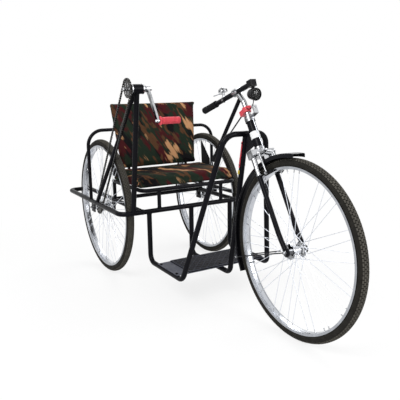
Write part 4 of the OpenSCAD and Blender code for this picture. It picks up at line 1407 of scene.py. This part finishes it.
class TRICYCLE_OT_steering_trim(Step):
    """Fit the plated sleeves, nuts, levers and tabs of the steering"""

    bl_idname = "tricycle.steering_trim"
    bl_label = "Steering trim"

    def fork_caps(self):
        """Plated caps on the tops of the fork blades."""
        shape = Shape()
        for side in (-45, 45):
            shape.lathe(on_head(-32.2, 0, side), -HEAD_UP, [
                (10.1, 0), (10.8, 0.4), (10.8, 69.0), (11.2, 70.5), (11.2, 74.5), (10.1, 75.5)], closed=True)
        return shape

    def levers(self):
        """Pull rod ahead of the head, and the bell's thumb lever."""
        shape = Shape()
        shape.sweep([on_head(142.2, 27, -5), on_head(60, 28, -5), on_head(-11, 31, -4)], 2.2, 12)
        shape.lathe(on_head(136, 27, -9), Y_AXIS, [(0, 0), (5.2, 0.6), (5.2, 7.4), (0, 8.0)], 20)
        thumb = [on_tiller(-102, 24), on_tiller(-112, 26, -16), on_tiller(-120, 22, -34)]
        shape.sweep(smooth_path(thumb), 2.0)
        return shape.lathe(on_tiller(-120, 20.5, -36), TILLER_TOP, [
            (0, 0), (5.0, 0.3), (5.6, 1.2), (5.0, 2.2), (0, 2.6)], 18)

    def lamp_rim(self, radius=25):
        profile = [(-0.1, 0), (0.8, 0.6), (1.2, 3.0), (0.4, 5.6), (-1.8, 6.2), (-2.8, 5.0)]
        return Shape().lathe(LAMP_AT + X_AXIS * 0.0165, X_AXIS,
                             [(radius + out, along) for out, along in profile], 48, closed=True)

    def lever_cap(self):
        along = (LEVER_LOW - LEVER_TOP).normalized()
        return Shape().lathe(LEVER_LOW - along * 0.030, along, [
            (8.5, 0), (9.8, 0.8), (10.2, 2.0), (10.2, 29.0), (9.0, 31.6), (5.0, 32.4), (0, 32.6)], 28)

    def nut(self):
        """Washer, hexagon and the bolt's rounded end."""
        shape = Shape().lathe(-MM * Z_AXIS, Z_AXIS, disc(8.2, 2.2), 20)
        shape.lathe(MM * Z_AXIS, Z_AXIS, [(0, 0), (6.4, 0), (6.4, 4.6), (5.4, 5.6), (0, 5.6)], 6)
        return shape.lathe(6.4 * MM * Z_AXIS, Z_AXIS, [
            (0, 0), (4.2, 0), (4.0, 1.6), (2.6, 3.1), (0, 3.7)], 12)

    def nut_points(self):
        stay_r, stay_angle, stay_y = 363.5, math.radians(198), 34.2
        points = [(on_head(-14, 36), HEAD_FORE), (on_tiller(0, -18), -TILLER_TOP)]
        for side in (-1, 1):
            stay = Vector((stay_r * math.cos(stay_angle), side * stay_y, stay_r * math.sin(stay_angle)))
            places = (on_head(-112, 38, side * 40.2), on_head(-22, 32, side * 40.7),
                      PIVOT["front_wheel_spin"] + MM * stay)
            points += [(place, side * Y_AXIS) for place in places]
        return points

    def execute(self, context):
        turn = Matrix((HEAD_FORE, Y_AXIS, HEAD_UP)).transposed()
        tab = Shape().block(on_head(185, 20, 0), (13, 15, 16), turn)
        for name, shape, finish in (
                ("fork_caps", self.fork_caps(), "chrome"),
                ("pull_rod_and_bell_lever", self.levers(), "rim_chrome"),
                ("lamp_rim", self.lamp_rim(), "black_plastic"),
                ("red_clip_tab", tab, "red_plastic"),
                ("lever_cap", self.lever_cap(), "black_rubber")):
            piece(name, shape, finish, "steering")
        set_out("steering_nuts", self.nut(), self.nut_points(), "chrome", "steering", 0.8, sharp=30)
        return {"FINISHED"}


class TRICYCLE_OT_crank_trim(Step):
    """Fit the bearing shell's rings and the crank's nuts"""

    bl_idname = "tricycle.crank_trim"
    bl_label = "Crank trim"

    def execute(self, context):
        rings, nuts = Shape(), Shape()
        for off, side in ((0.017, -1), (0.077, 1)):
            start = Vector((CRANK_AT.x, CHAIN_Y + off - side * 0.006, CRANK_AT.z))
            rings.lathe(start, side * Y_AXIS, [
                (22.1, 0), (23.6, 0.6), (23.6, 5.2), (22.4, 6.4), (13.0, 7.0), (13.0, 5.8), (21.8, 5.0)],
                48, closed=True)
        piece("bearing_rings", rings, "chrome", "frame")
        ring_side = Vector((CRANK_AT.x, CHAIN_Y - 0.0138, CRANK_AT.z))
        for spot, aim, size in ((CRANK_AT + Y_AXIS * 0.0135, Y_AXIS, 1.0),
                                (CRANK_PIN - Y_AXIS * 0.0068, -Y_AXIS, 0.8), (ring_side, -Y_AXIS, 1.05)):
            nuts.lathe(spot, aim, disc(9.4 * size, 1.8), 24)
            nuts.lathe(spot + aim * 0.0016, aim, [
                (0, 0), (7.8 * size, 0), (7.8 * size, 4.8), (6.8 * size, 5.8), (0, 5.8)], 6)
        piece("crank_nuts", nuts, "chrome", "crank", sharp=30)
        return {"FINISHED"}


STEPS = (
    TRICYCLE_OT_stage, TRICYCLE_OT_finishes, TRICYCLE_OT_cables, TRICYCLE_OT_tyres, TRICYCLE_OT_chain,
    TRICYCLE_OT_cushions, TRICYCLE_OT_side_panels, TRICYCLE_OT_platform, TRICYCLE_OT_grips,
    TRICYCLE_OT_welds, TRICYCLE_OT_fasteners, TRICYCLE_OT_steering_trim, TRICYCLE_OT_crank_trim,
)


class TRICYCLE_PT_panel(bpy.types.Panel):
    """Lists the tricycle's sizes, colours and steps"""

    bl_label = "Mobility Tricycle"
    bl_idname = "TRICYCLE_PT_panel"
    bl_space_type = "VIEW_3D"
    bl_region_type = "UI"
    bl_category = "Tricycle"

    def draw(self, context):
        for group in (context.scene.tricycle_sizes, context.scene.tricycle_colours):
            box = self.layout.box()
            for key in group.__annotations__:
                box.prop(group, key)
        for step in STEPS:
            self.layout.operator(step.bl_idname)


CLASSES = (TricycleSizes, TricycleColours, *STEPS, TRICYCLE_PT_panel)


def register():
    for each in CLASSES:
        bpy.utils.register_class(each)
    bpy.types.Scene.tricycle_sizes = PointerProperty(type=TricycleSizes)
    bpy.types.Scene.tricycle_colours = PointerProperty(type=TricycleColours)


def unregister():
    del bpy.types.Scene.tricycle_sizes
    del bpy.types.Scene.tricycle_colours
    for each in reversed(CLASSES):
        bpy.utils.unregister_class(each)


def main():
    register()
    for step in STEPS:
        area, name = step.bl_idname.split(".")
        getattr(getattr(bpy.ops, area), name)()


if __name__ == "__main__":
    main()
